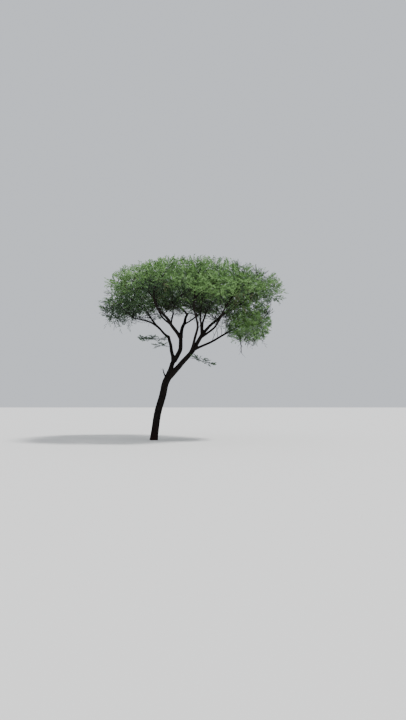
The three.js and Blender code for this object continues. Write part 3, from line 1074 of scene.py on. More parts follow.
@dataclass(frozen=True)
class PlainFinish:
    """A finish of one plain colour all over."""

    name: str
    colour: Colour
    roughness: float = 0.95
    specular: float = 0.5

    def material(self) -> bpy.types.Material:
        """Makes the material.

        Returns:
            A new material with the finish's values on its shader.
        """
        material = bpy.data.materials.new(self.name)
        material.use_nodes = True
        shader = material.node_tree.nodes["Principled BSDF"]
        shader.inputs["Base Color"].default_value = (*self.colour, 1)
        shader.inputs["Roughness"].default_value = self.roughness
        shader.inputs["Specular IOR Level"].default_value = self.specular
        return material


@dataclass(frozen=True)
class LeafFinish(PlainFinish):
    """The finish of one tone of leaf: a plain colour, for its place is dealt out by spray."""

    roughness: float = 0.62
    specular: float = 0.25


@dataclass(frozen=True)
class TwigFinish(PlainFinish):
    """The finish of twigs: one plain colour, for a pattern would be lost on them."""

    roughness: float = 0.9
    specular: float = 0.08


class LeafTone(Enum):
    """The tones of leaf, from painted light on the sunlit top to painted shade on the underside, and a dry
    one.
    """

    SUNLIT = LeafFinish("leaf_sunlit", (0.21, 0.37, 0.13))
    FRESH = LeafFinish("leaf_fresh", (0.15, 0.285, 0.084))
    GREEN = LeafFinish("leaf_green", (0.102, 0.205, 0.064))
    OLIVE = LeafFinish("leaf_olive", (0.07, 0.135, 0.05))
    DRY = LeafFinish("leaf_dry", (0.115, 0.12, 0.06))
    SHADE = LeafFinish("leaf_shade", (0.036, 0.07, 0.034))


class TwigTone(Enum):
    """The tones of twig: the old wood, and the young stems that bear leaves."""

    OLD = TwigFinish("twig_wood", (0.013, 0.0105, 0.009))
    YOUNG = TwigFinish("twig_young", (0.04, 0.04, 0.024))


@dataclass(frozen=True)
class BarkFinish:
    """The finish of the bark: darker in the furrows, paler on the ridges, and a redder foot."""

    furrow: Colour = (0.003, 0.0026, 0.0026)
    ridge: Colour = (0.014, 0.0112, 0.0102)
    foot: Colour = (0.028, 0.009, 0.007)
    foot_height: float = 0.9
    foot_strength: float = 0.75
    patch_scale: float = 3.0
    patch_detail: float = 5
    grain_scale: float = 60.0
    grain_detail: float = 6
    grain_stretch: float = 0.15
    grain_share: float = 0.5
    furrow_level: float = 0.3
    ridge_level: float = 1.05
    bump_strength: float = 0.6
    bump_distance: float = 0.004
    roughness: float = 0.9
    specular: float = 0.05

    def material(self) -> bpy.types.Material:
        """Makes the material, coloured by the mesh's own relief and by its height.

        Returns:
            The new material.
        """
        material = bpy.data.materials.new("bark")
        material.use_nodes = True
        nodes, links = material.node_tree.nodes, material.node_tree.links
        shader = nodes["Principled BSDF"]
        shader.inputs["Roughness"].default_value = self.roughness
        shader.inputs["Specular IOR Level"].default_value = self.specular
        place = nodes.new("ShaderNodeNewGeometry").outputs["Position"]
        stretch = nodes.new("ShaderNodeVectorMath")
        stretch.operation = "MULTIPLY"
        stretch.inputs[1].default_value = (1, 1, self.grain_stretch)
        links.new(place, stretch.inputs[0])
        grain = self._noise(material, stretch.outputs[0], self.grain_scale, self.grain_detail)
        mix = nodes.new("ShaderNodeMix")
        mix.data_type = "RGBA"
        mix.inputs["B"].default_value = (*self.foot, 1)
        links.new(self._redness(material, place), mix.inputs["Factor"])
        links.new(self._worn_colour(material, grain), mix.inputs["A"])
        links.new(mix.outputs["Result"], shader.inputs["Base Color"])
        bump = nodes.new("ShaderNodeBump")
        bump.inputs["Strength"].default_value = self.bump_strength
        bump.inputs["Distance"].default_value = self.bump_distance
        links.new(grain, bump.inputs["Height"])
        links.new(bump.outputs["Normal"], shader.inputs["Normal"])
        return material

    def _noise(
        self, material: bpy.types.Material, place: bpy.types.NodeSocket, scale: float, detail: float
    ) -> bpy.types.NodeSocket:
        """Adds a noise texture.

        Args:
            material: The material.
            place: The socket with the place that it is read at.
            scale: How many of its cells there are to a metre.
            detail: How many finer layers it has.

        Returns:
            The socket with its value.
        """
        noise = material.node_tree.nodes.new("ShaderNodeTexNoise")
        noise.inputs["Scale"].default_value = scale
        noise.inputs["Detail"].default_value = detail
        material.node_tree.links.new(place, noise.inputs["Vector"])
        return noise.outputs["Fac"]

    def _worn_colour(self, material: bpy.types.Material, grain: bpy.types.NodeSocket) -> bpy.types.NodeSocket:
        """Adds the colour that goes from dark in the furrows to paler on the ridges.

        Args:
            material: The material.
            grain: The socket with the bark's fine grain.

        Returns:
            The socket with the colour.
        """
        nodes, links = material.node_tree.nodes, material.node_tree.links
        relief = nodes.new("ShaderNodeAttribute")
        relief.attribute_name = BarkedWood.RELIEF
        relief_and_grain = nodes.new("ShaderNodeMath")
        relief_and_grain.operation = "MULTIPLY_ADD"
        relief_and_grain.inputs[1].default_value = self.grain_share
        links.new(grain, relief_and_grain.inputs[0])
        links.new(relief.outputs["Fac"], relief_and_grain.inputs[2])
        # The colour goes from dark in the furrows to paler on the ridges, by the mesh's relief and grain.
        tone = nodes.new("ShaderNodeValToRGB")
        stops = ((self.furrow_level, self.furrow), (self.ridge_level, self.ridge))
        for element, (level, colour) in zip(tone.color_ramp.elements, stops):
            element.position = level
            element.color = (*colour, 1)
        links.new(relief_and_grain.outputs[0], tone.inputs["Fac"])
        return tone.outputs["Color"]

    def _redness(self, material: bpy.types.Material, place: bpy.types.NodeSocket) -> bpy.types.NodeSocket:
        """Adds the share of the foot's colour, in patches that die away upward.

        Args:
            material: The material.
            place: The socket with the place on the tree.

        Returns:
            The socket with the share.
        """
        nodes, links = material.node_tree.nodes, material.node_tree.links
        height = nodes.new("ShaderNodeSeparateXYZ")
        links.new(place, height.inputs[0])
        low = nodes.new("ShaderNodeMapRange")
        low.inputs["From Min"].default_value = self.foot_height
        low.inputs["From Max"].default_value = 0
        low.inputs["To Max"].default_value = self.foot_strength
        links.new(height.outputs["Z"], low.inputs["Value"])
        share = nodes.new("ShaderNodeMath")
        share.operation = "MULTIPLY"
        links.new(low.outputs[0], share.inputs[0])
        links.new(self._noise(material, place, self.patch_scale, self.patch_detail), share.inputs[1])
        return share.outputs[0]


def with_relief(piece: bpy.types.Object, relief: Array) -> bpy.types.Object:
    """Gives a piece of wood the relief that its bark is coloured by.

    Args:
        piece: The piece.
        relief: A value for each vertex, from a furrow, 0, to a ridge, 1.

    Returns:
        The same piece.
    """
    values = piece.data.attributes.new(BarkedWood.RELIEF, "FLOAT", "POINT")
    values.data.foreach_set("value", relief.astype(np.float32))
    return piece


@dataclass(frozen=True)
class FurrowPattern:
    """How the bark's furrows wander, how sharp they and the plates are, and how much grain shows."""

    warp: float = 0.55
    warp_scale: float = 0.6
    warp_seed: int = 40
    crack_sharpness: float = 2.6
    plate_sharpness: float = 3.2
    plate_scale: Place = (0.8, 0.8, 2.6)
    plate_share: float = 0.45
    plate_seed: int = 80
    grain_scale: float = 2.3
    grain_share: float = 0.28
    grain_seed: int = 120


@dataclass
class BarkedWood:
    """The trunk and the boughs: one fused skin with swelling forks and furrowed bark."""

    skeleton: Skeleton
    finish: BarkFinish = field(default_factory=BarkFinish)
    voxel: float = 0.014
    sides: int = 20
    ring_spacing: float = 0.03
    below_ground: float = 0.06
    collar_swell: float = 0.32
    collar_length: float = 1.6
    tip_overlap: float = 0.03
    smoothing_rounds: int = 4
    furrow_density: float = 30.0
    furrow_stretch: float = 0.2
    depth_share: float = 0.085
    depth_range: tuple[float, float] = (0.0016, 0.0105)
    resting_level: float = 0.62
    blend_width: float = 0.02
    station_spacing: float = 0.02
    search_margin: float = 0.35

    RELIEF = "bark_relief"
    FEWEST_RINGS = 6
    FEWEST_STATIONS = 8
    NEAR_GROUND = 1e-4
    DEEPEST_INSIDE = -0.1
    PATTERN_SIDE = np.array([0.31, 0.95, 0.05])
    PATTERN = FurrowPattern()

    def build(self) -> bpy.types.Object:
        """Builds and dresses the wood.

        Returns:
            The one piece of trunk and boughs.
        """
        vertices, faces = self._fused()
        vertices = self._relaxed(vertices, faces)
        vertices, ridge = self._with_bark(vertices, faces)
        parts = MeshParts()
        parts.add(vertices, faces)
        return with_relief(parts.build("trunk_and_boughs", [self.finish.material()], smooth=True), ridge)

    def _tubes(self) -> MeshParts:
        """Makes a closed tube for each thick limb, from inside its parent to its tip.

        A limb swells at its fork, and is a little thicker all along for what the smoothing takes off.

        Returns:
            The tubes.
        """
        parts = MeshParts()
        for line in self.skeleton.lines.values():
            if line.spec.name in THIN_LIMBS:
                continue
            rings = max(self.FEWEST_RINGS, round(line.length / self.ring_spacing))
            shares = np.linspace(0, 1, rings + 1)
            centres, headings = line.point(shares), line.heading(shares)
            angles = 2 * math.pi * np.arange(self.sides) / self.sides
            radii = line.radius(shares[:, None], angles[None, :])
            if line.spec.parent:
                thick = float(self.skeleton.lines[line.spec.parent].radius(line.spec.at))
                reach = shares * line.length / (self.collar_length * thick)
                radii = radii * (1 + self.collar_swell * np.exp(-reach**2))[:, None]
                radii += self.smoothing_rounds * self.voxel**2 / (8 * radii)
                centres[-1] += headings[-1] * self.tip_overlap
            else:
                foot = centres[:1] - np.array([[0, 0, self.below_ground]])
                centres = np.concatenate([foot, centres])
                headings = np.concatenate([[UP], headings])
                headings[1] = UP
                radii = np.concatenate([radii[:1], radii])
            parts.add(*tube(centres, headings, radii, self.sides))
        return parts

    def _fused(self) -> tuple[Array, Array]:
        """Joins the tubes into one skin by voxels and cuts it flat at the ground.

        Returns:
            The skin's vertices and faces.
        """
        solid = self._tubes().build("wood_tubes", [], smooth=False)
        remesh = solid.modifiers.new("fuse", "REMESH")
        remesh.mode = "VOXEL"
        remesh.voxel_size = self.voxel
        depsgraph = bpy.context.evaluated_depsgraph_get()
        fused = bmesh.new()
        fused.from_object(solid, depsgraph)
        geometry = [*fused.verts, *fused.edges, *fused.faces]
        cut = bmesh.ops.bisect_plane(
            fused, geom=geometry, plane_co=(0, 0, 0), plane_no=(0, 0, -1), clear_outer=True
        )
        rim = [item for item in cut["geom_cut"] if isinstance(item, bmesh.types.BMEdge)]
        bmesh.ops.contextual_create(fused, geom=rim)
        bmesh.ops.triangulate(fused, faces=fused.faces[:])
        vertices = np.array([vertex.co for vertex in fused.verts])
        faces = np.array([[vertex.index for vertex in face.verts] for face in fused.faces])
        fused.free()
        bpy.data.objects.remove(solid)
        return vertices, faces

    def _relaxed(self, vertices: Array, faces: Array) -> Array:
        """Smooths the voxels' steps away, keeping the flat cut where it is.

        Args:
            vertices: The skin's vertices.
            faces: Its faces.

        Returns:
            The moved vertices.
        """
        pairs = np.concatenate([faces[:, [0, 1]], faces[:, [1, 2]], faces[:, [2, 0]]])
        ends = np.concatenate([pairs, pairs[:, ::-1]])
        degree = np.bincount(ends[:, 0], minlength=len(vertices))[:, None]
        still = vertices[:, 2] < self.NEAR_GROUND
        for _ in range(self.smoothing_rounds):
            near = np.stack([
                np.bincount(ends[:, 0], weights=vertices[ends[:, 1], axis], minlength=len(vertices))
                for axis in range(3)
            ], axis=1)
            smoothed = 0.5 * vertices + 0.5 * near / degree
            vertices = np.where(still[:, None], vertices, smoothed)
        return vertices

    def _normals(self, vertices: Array, faces: Array) -> Array:
        """The skin's normals.

        Args:
            vertices: The skin's vertices.
            faces: Its faces.

        Returns:
            The unit normal at each vertex.
        """
        a, b, c = (vertices[faces[:, i]] for i in range(3))
        face_normals = np.cross(b - a, c - a)
        normals = np.zeros_like(vertices)
        for i in range(3):
            np.add.at(normals, faces[:, i], face_normals)
        return unit(normals)

    def _with_bark(self, vertices: Array, faces: Array) -> tuple[Array, Array]:
        """Moves the skin in and out by the bark's furrows.

        Args:
            vertices: The skin's vertices.
            faces: Its faces.

        Returns:
            The moved vertices, and how high each stands from a furrow, 0, to a ridge, 1.
        """
        shape, size, total = np.zeros((3, len(vertices)))
        for index, line in enumerate(self.skeleton.lines.values()):
            stations = max(self.FEWEST_STATIONS, round(line.length / self.station_spacing))
            shares = np.linspace(0, 1, stations)
            centres, headings, radii = line.point(shares), line.heading(shares), line.radius(shares)
            low, high = centres.min(axis=0) - self.search_margin, centres.max(axis=0) + self.search_margin
            near = np.flatnonzero(np.all((vertices > low) & (vertices < high), axis=1))
            if len(near) == 0:
                continue
            chosen = vertices[near]
            square = (chosen**2).sum(1)[:, None] + (centres**2).sum(1)[None] - 2 * chosen @ centres.T
            gap = np.sqrt(np.maximum(square, 0)) - radii[None]
            nearest = np.argmin(gap, axis=1)
            closest = np.maximum(gap[np.arange(len(near)), nearest], self.DEEPEST_INSIDE)
            weight = np.exp(-closest / self.blend_width)
            across = unit(np.cross(headings[nearest], self.PATTERN_SIDE))
            side = np.cross(headings[nearest], across)
            offset = chosen - centres[nearest]
            angle = np.arctan2((offset * side).sum(1), (offset * across).sum(1))
            radius = radii[nearest]
            along = (shares[nearest] * line.length) + (offset * headings[nearest]).sum(1)
            pattern = self._furrows(angle, radius, along, BARK_SEED + index)
            depth = np.clip(self.depth_share * radius, *self.depth_range)
            shape[near] += weight * pattern
            size[near] += weight * depth
            total[near] += weight
        shape, size = shape / np.maximum(total, TINY), size / np.maximum(total, TINY)
        normals = self._normals(vertices, faces)
        moved = (shape - self.resting_level)[:, None] * size[:, None] * normals
        moved[vertices[:, 2] < self.NEAR_GROUND, 2] = 0
        moved[:, 2] = np.maximum(moved[:, 2], -vertices[:, 2])
        return vertices + moved, shape

    def _furrows(self, angle: Array, radius: Array, along: Array, seed: int) -> Array:
        """The bark's pattern: cracks that wander, long plates between them, and grain.

        Args:
            angle: Where places lie round a limb.
            radius: How thick it is there.
            along: How far along it they lie.
            seed: Which pattern.

        Returns:
            The height at each place, from a furrow, 0, to a ridge, 1.
        """
        pattern = self.PATTERN
        ring = radius * self.furrow_density
        lengthwise = along * self.furrow_density * self.furrow_stretch
        place = np.stack([np.cos(angle) * ring, np.sin(angle) * ring, lengthwise], axis=1)
        warp = lattice_noise(place * pattern.warp_scale, seed + pattern.warp_seed)
        place = place + pattern.warp * warp[:, None]
        crack = np.minimum(np.abs(lattice_noise(place, seed)) * pattern.crack_sharpness, 1)
        cells = lattice_noise(place * np.array(pattern.plate_scale), seed + pattern.plate_seed)
        plates = np.minimum(np.abs(cells) * pattern.plate_sharpness, 1)
        grain = 0.5 + 0.5 * lattice_noise(place * pattern.grain_scale, seed + pattern.grain_seed)
        cracks_and_plates = crack * (1 - pattern.plate_share + pattern.plate_share * plates)
        return np.clip((1 - pattern.grain_share) * cracks_and_plates + pattern.grain_share * grain, 0, 1)


@dataclass
class ThinWood:
    """The stub by the fork and the twig that hangs under the right side, too thin for voxels."""

    skeleton: Skeleton
    sides: int = 9
    fewest_rings: int = 5
    ring_spacing: float = 0.02
    unevenness: float = 0.14
    relief: float = 0.45
    splinters: int = 5
    splinter_length: float = 0.2
    splinter_lean: float = 0.5
    twiglets: int = 9
    twiglet_length: float = 0.3
    twiglet_lean: float = 0.9
    twiglet_range: tuple[float, float] = (0.45, 0.98)
    shoot_turn: float = 2.4
    shoot_curl: float = 0.3
    shoot_sunk: float = 0.01
    shoot_sides: int = 4
    shoot_radii: tuple[float, ...] = (0.007, 0.005, 0.0012)

    def build(self, bark: bpy.types.Material) -> list[bpy.types.Object]:
        """Builds the two pieces.

        Args:
            bark: The bark's material.

        Returns:
            The hanging twig and the stub.
        """
        return [self._piece("drooping_twig", bark, False), self._piece("broken_stub", bark, True)]

    def _piece(self, name: str, bark: bpy.types.Material, broken: bool) -> bpy.types.Object:
        """Builds one thin limb, with twiglets along it, or splinters where it is broken off.

        Args:
            name: The limb.
            bark: The bark's material.
            broken: Whether it is broken off.

        Returns:
            The piece.
        """
        line = self.skeleton.lines[name]
        shares = np.linspace(0, 1, max(self.fewest_rings, round(line.length / self.ring_spacing)))
        random = np.random.default_rng(BARK_SEED)
        uneven = 1 + self.unevenness * random.standard_normal((len(shares), self.sides))
        parts = MeshParts()
        radii = line.radius(shares)[:, None] * uneven
        parts.add(*tube(line.point(shares), line.heading(shares), radii, self.sides))
        roots = np.ones(self.splinters) if broken else np.linspace(*self.twiglet_range, self.twiglets)
        length = self.splinter_length if broken else self.twiglet_length
        lean = self.splinter_lean if broken else self.twiglet_lean
        for index, share in enumerate(roots):
            heading = line.heading(share)
            across = unit(np.cross(heading, UP))
            angle = self.shoot_turn * index + random.random()
            out = across * math.cos(angle) + np.cross(heading, across) * math.sin(angle)
            half = length * random.uniform(0.5, 1) * 0.5
            course = unit(heading + lean * out)
            bend = line.point(share) + course * half
            tip = bend + unit(course + self.shoot_curl * out) * half
            places = np.array([line.point(share) - heading * self.shoot_sunk, bend, tip])
            parts.add(*tube(places, np.array([course] * 3), np.array(self.shoot_radii), self.shoot_sides))
        piece = parts.build(name + "_wood", [bark], smooth=True)
        return with_relief(piece, np.full(len(piece.data.vertices), self.relief))


class Foliage:
    """Grows the masses: twigs by the forking rule, leafy shoots on their ends, leaves on those."""

    SPRAY_DEPTH = 0.09
    SPACE_MARGIN = 0.014
    LIMB_ROOM = 0.012
    SHOOT_ROOM = 0.03
    BATCH = 4000
    POOL = 14
    CHOICES = 12
    BOX_ALLOWANCE = 0.05
    OPEN = 1.05
    ASKEW = np.array([0.3, 0.2, 0.93])
    TONES_BY_LIGHT = (LeafTone.SHADE, LeafTone.OLIVE, LeafTone.GREEN, LeafTone.FRESH, LeafTone.SUNLIT)

    def __init__(self, skeleton: Skeleton, crown: Crown) -> None:
        """Gets ready to grow the masses.

        Args:
            skeleton: The limbs that they grow on.
            crown: The crown that they grow in.
        """
        self.skeleton = skeleton
        self.crown = crown
        self.rule = TwigRule()
        self.sizes = FoliageSizes()
        self.side_twigs = SideTwigSizes()
        self.light = LightRule()
        self.tones = list(LeafTone)
        self.leaf_materials = [tone.value.material() for tone in LeafTone]
        self.twig_materials = [tone.value.material() for tone in TwigTone]
        low, high = CAD_BOX
        self.low = np.array(low) - self.BOX_ALLOWANCE
        self.high = np.array(high) + self.BOX_ALLOWANCE

    def grow(self, mass: Mass, seed: int) -> tuple[bpy.types.Object, bpy.types.Object]:
        """Grows one mass.

        Args:
            mass: The mass.
            seed: The seed of its own random numbers.

        Returns:
            Its twigs and its leaves.
        """
        random = np.random.default_rng(seed)
        twigs = self._twigs(mass, random)
        shoots = self._shoots(mass, twigs, random)
        bare = self._bare(mass, shoots, random)
        wood = MeshParts()
        for twig in twigs:
            self._add_twig(twig, wood)
        self._add_shoots(shoots.taken(bare), wood, self.sizes.bare_radius, 0)
        shoots = shoots.taken(~bare)
        self._add_shoots(shoots, wood, self.sizes.shoot_radius, 1)
        twig_piece = wood.build(mass.name + "_twigs", self.twig_materials, smooth=True)
        leaves = MeshParts()
        self._add_leaves(mass, shoots, random, leaves)
        leaf_piece = leaves.build(mass.name + "_leaves", self.leaf_materials, smooth=False)
        return twig_piece, leaf_piece

    def _in_space(self, mass: Mass, points: Array, inset: float, margin: float) -> Array:
        """Which points lie in a mass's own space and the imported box.

        Args:
            mass: The mass.
            points: Places, as rows.
            inset: How far its shape is drawn in.
            margin: How far they keep from the next mass.

        Returns:
            True for each point inside.
        """
        return mass.shape.holds(points, inset) & self._own(mass, points, margin)

    def _own(self, mass: Mass, points: Array, margin: float) -> Array:
        """Which points are nearer to a mass than to any other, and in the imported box.

        Args:
            mass: The mass. A low spray has no neighbours.
            points: Places, as rows.
            margin: How far they keep from the next mass.

        Returns:
            True for each such point.
        """
        inside = np.all((points > self.low) & (points < self.high), axis=-1)
        if mass.on_tip:
            inside &= self.crown.depth(points, mass) > margin
        return inside

    def _spray_ends(self, mass: Mass, random: np.random.Generator) -> Array:
        """Places the ends of a mass's twigs: in its space, in the fringe under it, in its thickets.

        Args:
            mass: The mass.
            random: The source of random numbers.

        Returns:
            The places, as rows.
        """
        def in_the_mass(places: Array) -> Array:
            """Which places are well inside the mass, where it isn't open."""
            return self._in_space(mass, places, mass.inset, self.SPRAY_DEPTH) & ~self._open(places)

        def in_the_fringe(places: Array) -> Array:
            """Which places are in the fringe under the mass."""
            return mass.shape.fringes(places) & self._own(mass, places, self.SPRAY_DEPTH)

        ends = [self._spread(mass, mass.sprays, in_the_mass, random)]
        if mass.fringe_sprays:
            ends.append(self._spread(mass, mass.fringe_sprays, in_the_fringe, random))
        for thicket in self._thickets(mass):
            ends.append(self._spread(
                mass, thicket.sprays,
                lambda places: thicket.holds(places) & self._own(mass, places, self.SPRAY_DEPTH), random,
            ))
        return np.concatenate(ends)

    def _open(self, places: Array) -> Array:
        """Which places are so thin that no twig ends there."""
        return sum(patch.thin * patch.at(places) for patch in PATCHES) > self.OPEN

    def _thickets(self, mass: Mass) -> list[Thicket]:
        """The thickets of a mass."""
        return [thicket for thicket in THICKETS if thicket.mass == mass.name]

    def _has_room(self, mass: Mass, points: Array) -> Array:
        """Which points are in a mass's shape, its fringe or one of its thickets.

        Args:
            mass: The mass.
            points: Places, as rows.

        Returns:
            True for each such point.
        """
        room = mass.shape.holds(points, 0.0) | mass.shape.fringes(points)
        for thicket in self._thickets(mass):
            room = room | thicket.holds(points)
        return room

    def _spread(
        self, mass: Mass, count: int, fits: Callable[[Array], Array], random: np.random.Generator
    ) -> Array:
        """Spreads places evenly round a mass's heart: each is the best of a few random ones.

        Args:
            mass: The mass.
            count: How many places.
            fits: Which of some places will do.
            random: The source of random numbers.

        Returns:
            The places, as rows.
        """
        pool = np.empty((0, 3))
        while len(pool) < self.POOL * count:
            places = mass.heart + random.uniform(-1, 1, (self.BATCH, 3)) * np.array(mass.reach)
            pool = np.concatenate([pool, places[fits(places)]])
        chosen = [pool[0]]
        nearest = np.linalg.norm(pool - chosen[0], axis=1)
        for index in range(1, count):
            few = np.arange(index * self.CHOICES, (index + 1) * self.CHOICES)
            best = few[np.argmax(nearest[few])]
            chosen.append(pool[best])
            nearest = np.minimum(nearest, np.linalg.norm(pool - pool[best], axis=1))
        return np.array(chosen)

    def _twigs(self, mass: Mass, random: np.random.Generator) -> list[Twig]:
        """Grows the twigs of a mass, from the stem on its limb to its sprays.

        Args:
            mass: The mass.
            random: The source of random numbers.

        Returns:
            The finished twigs.
        """
        line = self.skeleton.lines[mass.limb]
        sprays = self._spray_ends(mass, random)
        start = line.point(mass.at)
        heading = line.heading(1.0) if mass.on_tip else unit(mass.heart - start)
        finest = self.sizes.twig_radius
        stem_radius = line.spec.radii[1] if mass.on_tip else finest * self.sizes.low_stem
        power = math.log(stem_radius / finest) / math.log(len(sprays))

        def width(count: int) -> float:
            """The radius of a twig that feeds so many sprays, which meets the limb's own at the stem."""
            return finest * count**power

        def allowed(begin: Array, end: Array, radius: float) -> bool:
            """Whether a stretch stays in the mass's space and clear of the other limbs.

            Args:
                begin: Where it begins.
                end: Where it ends.
                radius: How thick it is.

            Returns:
                True if it may grow.
            """
            if begin is start:
                return True
            if not (self._has_room(mass, end) and self._own(mass, end, self.SPACE_MARGIN)):
                return False
            return self.skeleton.clear(begin, end, radius + self.LIMB_ROOM, mass.limb)

        twigs: list[Twig] = []
        stem = Station(start, heading, width(len(sprays)))
        self.rule.grow([stem], sprays, width, random, allowed, twigs)
        if mass.on_tip:
            for share in self.side_twigs.shares:
                shift = self.side_twigs.share_variety * (random.random() - 0.5)
                self._grow_side_twig(mass, line, share + shift, random, twigs)
        return twigs

    def _grow_side_twig(
        self, mass: Mass, line: LimbLine, share: float, random: np.random.Generator, twigs: list[Twig]
    ) -> None:
        """Grows a thin twig off the side of a mass's limb, up into its lowest leaves.

        Args:
            mass: The mass.
            line: Its limb.
            share: Where on the limb the twig starts, as a share of its length.
            random: The source of random numbers.
            twigs: Gathers the finished twigs.
        """
        sizes = self.side_twigs
        start = line.point(share)
        places = start + random.uniform(-sizes.furthest, sizes.furthest, (sizes.tries, 3))
        apart = np.linalg.norm(places - start, axis=1)
        lift = places[:, 2] - self.crown.SHAPE.crown.heights(places[:, 0], places[:, 1])[1]
        fits = (apart > sizes.nearest) & (apart < sizes.furthest) & (places[:, 2] > start[2] - sizes.drop)
        fits &= (lift > sizes.lowest) & (lift < sizes.highest)
        fits &= self._own(mass, places, self.SPRAY_DEPTH) | ~mass.shape.holds(places, 0.0)
        places = places[fits]
        if len(places) < sizes.fewest:
            return
        close = np.argsort(np.linalg.norm(places - places[0], axis=1))[: sizes.closest]
        sprays = places[random.choice(close, sizes.sprays, replace=False)]
        heading = unit(unit(sprays.mean(axis=0) - start) + sizes.follow * line.heading(share))

        def width(count: int) -> float:
            """The radius of a twig that feeds so many sprays."""
            return sizes.radius * math.sqrt(count)

        def allowed(begin: Array, end: Array, radius: float) -> bool:
            """Whether a stretch keeps out of the other masses and clear of the other limbs.

            Args:
                begin: Where it begins.
                end: Where it ends.
                radius: How thick it is.

            Returns:
                True if it may grow.
            """
            if begin is start:
                return True
            free = self._own(mass, end, self.SPACE_MARGIN) | ~mass.shape.holds(end, 0.0)
            return bool(free) and self.skeleton.clear(begin, end, radius + self.LIMB_ROOM, mass.limb)

        stem = Station(start, heading, width(sizes.sprays))
        self.rule.grow([stem], sprays, width, random, allowed, twigs)

    def _shoots(self, mass: Mass, twigs: list[Twig], random: np.random.Generator) -> Shoots:
        """Places the leafy shoots on the last stretches of the twigs.

        Args:
            mass: The mass.
            twigs: Its twigs.
            random: The source of random numbers.

        Returns:
            The shoots.
        """
        ends = np.array([twig[-1].centre for twig in twigs])
        before = np.array([twig[-2].centre for twig in twigs])
        headings = unit(ends - before)
        low = mass.shape.fringes(ends) & ~mass.shape.holds(ends, 0.0)
        scales = np.where(low, self.sizes.fringe_scale, 1.0)
        found = [
            group
            for station in self.sizes.shoot_stations
            for group in self._shoots_at(station, mass, before, ends, headings, scales, random)
        ]
        names = [item.name for item in fields(Shoots)]
        return Shoots(*(np.concatenate([getattr(group, name) for group in found]) for name in names))

    def _bare(self, mass: Mass, shoots: Shoots, random: np.random.Generator) -> Array:
        """Which shoots bear no leaves: some where a patch is thin, and most in the fringe.

        Args:
            mass: The mass.
            shoots: Its shoots.
            random: The source of random numbers.

        Returns:
            True for each bare shoot.
        """
        hangs = mass.shape.fringes(shoots.tips) & ~mass.shape.holds(shoots.tips, 0.0)
        thin = sum(patch.thin * patch.at(shoots.tips) for patch in PATCHES) + self.sizes.fringe_bare * hangs
        return (random.random(len(shoots.roots)) < thin) & mass.on_tip

    def _shoots_at(
        self,
        station: ShootStation,
        mass: Mass,
        before: Array,
        ends: Array,
        headings: Array,
        scales: Array,
        random: np.random.Generator,
    ) -> list[Shoots]:
        """Places one shoot on each twig, on its last stretch, tried ever smaller until it has room.

        Args:
            station: The place and the way that the shoots turn off.
            mass: The mass.
            before: Where each last stretch starts.
            ends: Where it ends.
            headings: Its unit heading.
            scales: How large its shoots and leaves are.
            random: The source of random numbers.

        Returns:
            The shoots, a group for each size.
        """
        sizes = self.sizes
        roots = before + station.place * (ends - before)
        waiting = np.arange(len(ends))
        found = []
        for size in sizes.shoot_sizes:
            count = len(waiting)
            turns = np.radians(station.turn + sizes.turn_variety * (random.random(count) - 0.5))
            course = turned(headings[waiting], turns)
            course[:, 2] += random.uniform(*sizes.climb, count)
            variety = random.uniform(*sizes.length_variety, count)
            lengths = sizes.shoot_length * scales[waiting] * size * variety
            tried = Shoots(roots[waiting], unit(course), lengths, waiting, scales[waiting])
            tips = tried.tips
            middles = tried.roots + tried.headings * (0.5 * lengths[:, None])
            good = self._has_room(mass, tips) if mass.on_tip else mass.shape.holds(tips, mass.inset / 2)
            good &= self._own(mass, tips, self.SPACE_MARGIN)
            good &= self.skeleton.all_clear(tips, self.SHOOT_ROOM)
            good &= self.skeleton.all_clear(middles, self.SHOOT_ROOM)
            found.append(tried.taken(good))
            waiting = waiting[~good]
        return found

    def _add_twig(self, twig: Twig, wood: MeshParts) -> None:
        """Adds one twig as a smooth tube through its stations.

        Args:
            twig: The twig.
            wood: Gathers its faces.
        """
        centres = np.array([station.centre for station in twig])
        radii = np.array([station.radius for station in twig])
        steps = unit(np.diff(centres, axis=0))
        tangents = np.concatenate([[twig[0].heading], unit(steps[:-1] + steps[1:]), steps[-1:]])
        places, widths = [centres[0]], [radii[0]]
        for index, (a, b) in enumerate(zip(centres[:-1], centres[1:])):
            gap = float(np.linalg.norm(b - a))
            parts = max(1, round(gap / self.sizes.twig_step))
            for t in np.arange(1, parts + 1) / parts:
                out, back = tangents[index] * gap, tangents[index + 1] * gap
                places.append((2 * t**3 - 3 * t**2 + 1) * a + (t**3 - 2 * t**2 + t) * out
                              + (3 * t**2 - 2 * t**3) * b + (t**3 - t**2) * back)
                widths.append(radii[index] + (radii[index + 1] - radii[index]) * t)
        line = np.array(places)
        headings = unit(np.gradient(line, axis=0))
        sides = next(sides for least, sides in self.sizes.twig_sides if radii[0] > least)
        wood.add(*tube(line, headings, np.array(widths), sides))

    def _add_shoots(self, shoots: Shoots, wood: MeshParts, radius: float, slot: int) -> None:
        """Adds the stems of shoots, each three-sided and drawn out to a point.

        Args:
            shoots: The shoots.
            wood: Gathers their faces.
            radius: How thick a stem is at its root.
            slot: Its material slot.
        """
        count = len(shoots.roots)
        across = unit(np.cross(shoots.headings, self.ASKEW))
        side = np.cross(shoots.headings, across)
        rings = []
        for place, width in self.sizes.shoot_rings:
            centre = self._along(shoots, np.full(count, place))
            for corner in (0, 1, 2):
                angle = 2 * math.pi * corner / 3
                out = across * math.cos(angle) + side * math.sin(angle)
                rings.append(centre + out * radius * width)
        rings.append(self._along(shoots, np.ones(count)))
        vertices = np.stack(rings, axis=1).reshape(-1, 3)
        one = np.array([
            (0, 1, 4), (0, 4, 3), (1, 2, 5), (1, 5, 4), (2, 0, 3), (2, 3, 5),
            (3, 4, 6), (4, 5, 6), (5, 3, 6), (0, 2, 1),
        ])
        faces = (one[None] + len(rings) * np.arange(count)[:, None, None]).reshape(-1, 3)
        wood.add(vertices, faces, slot)

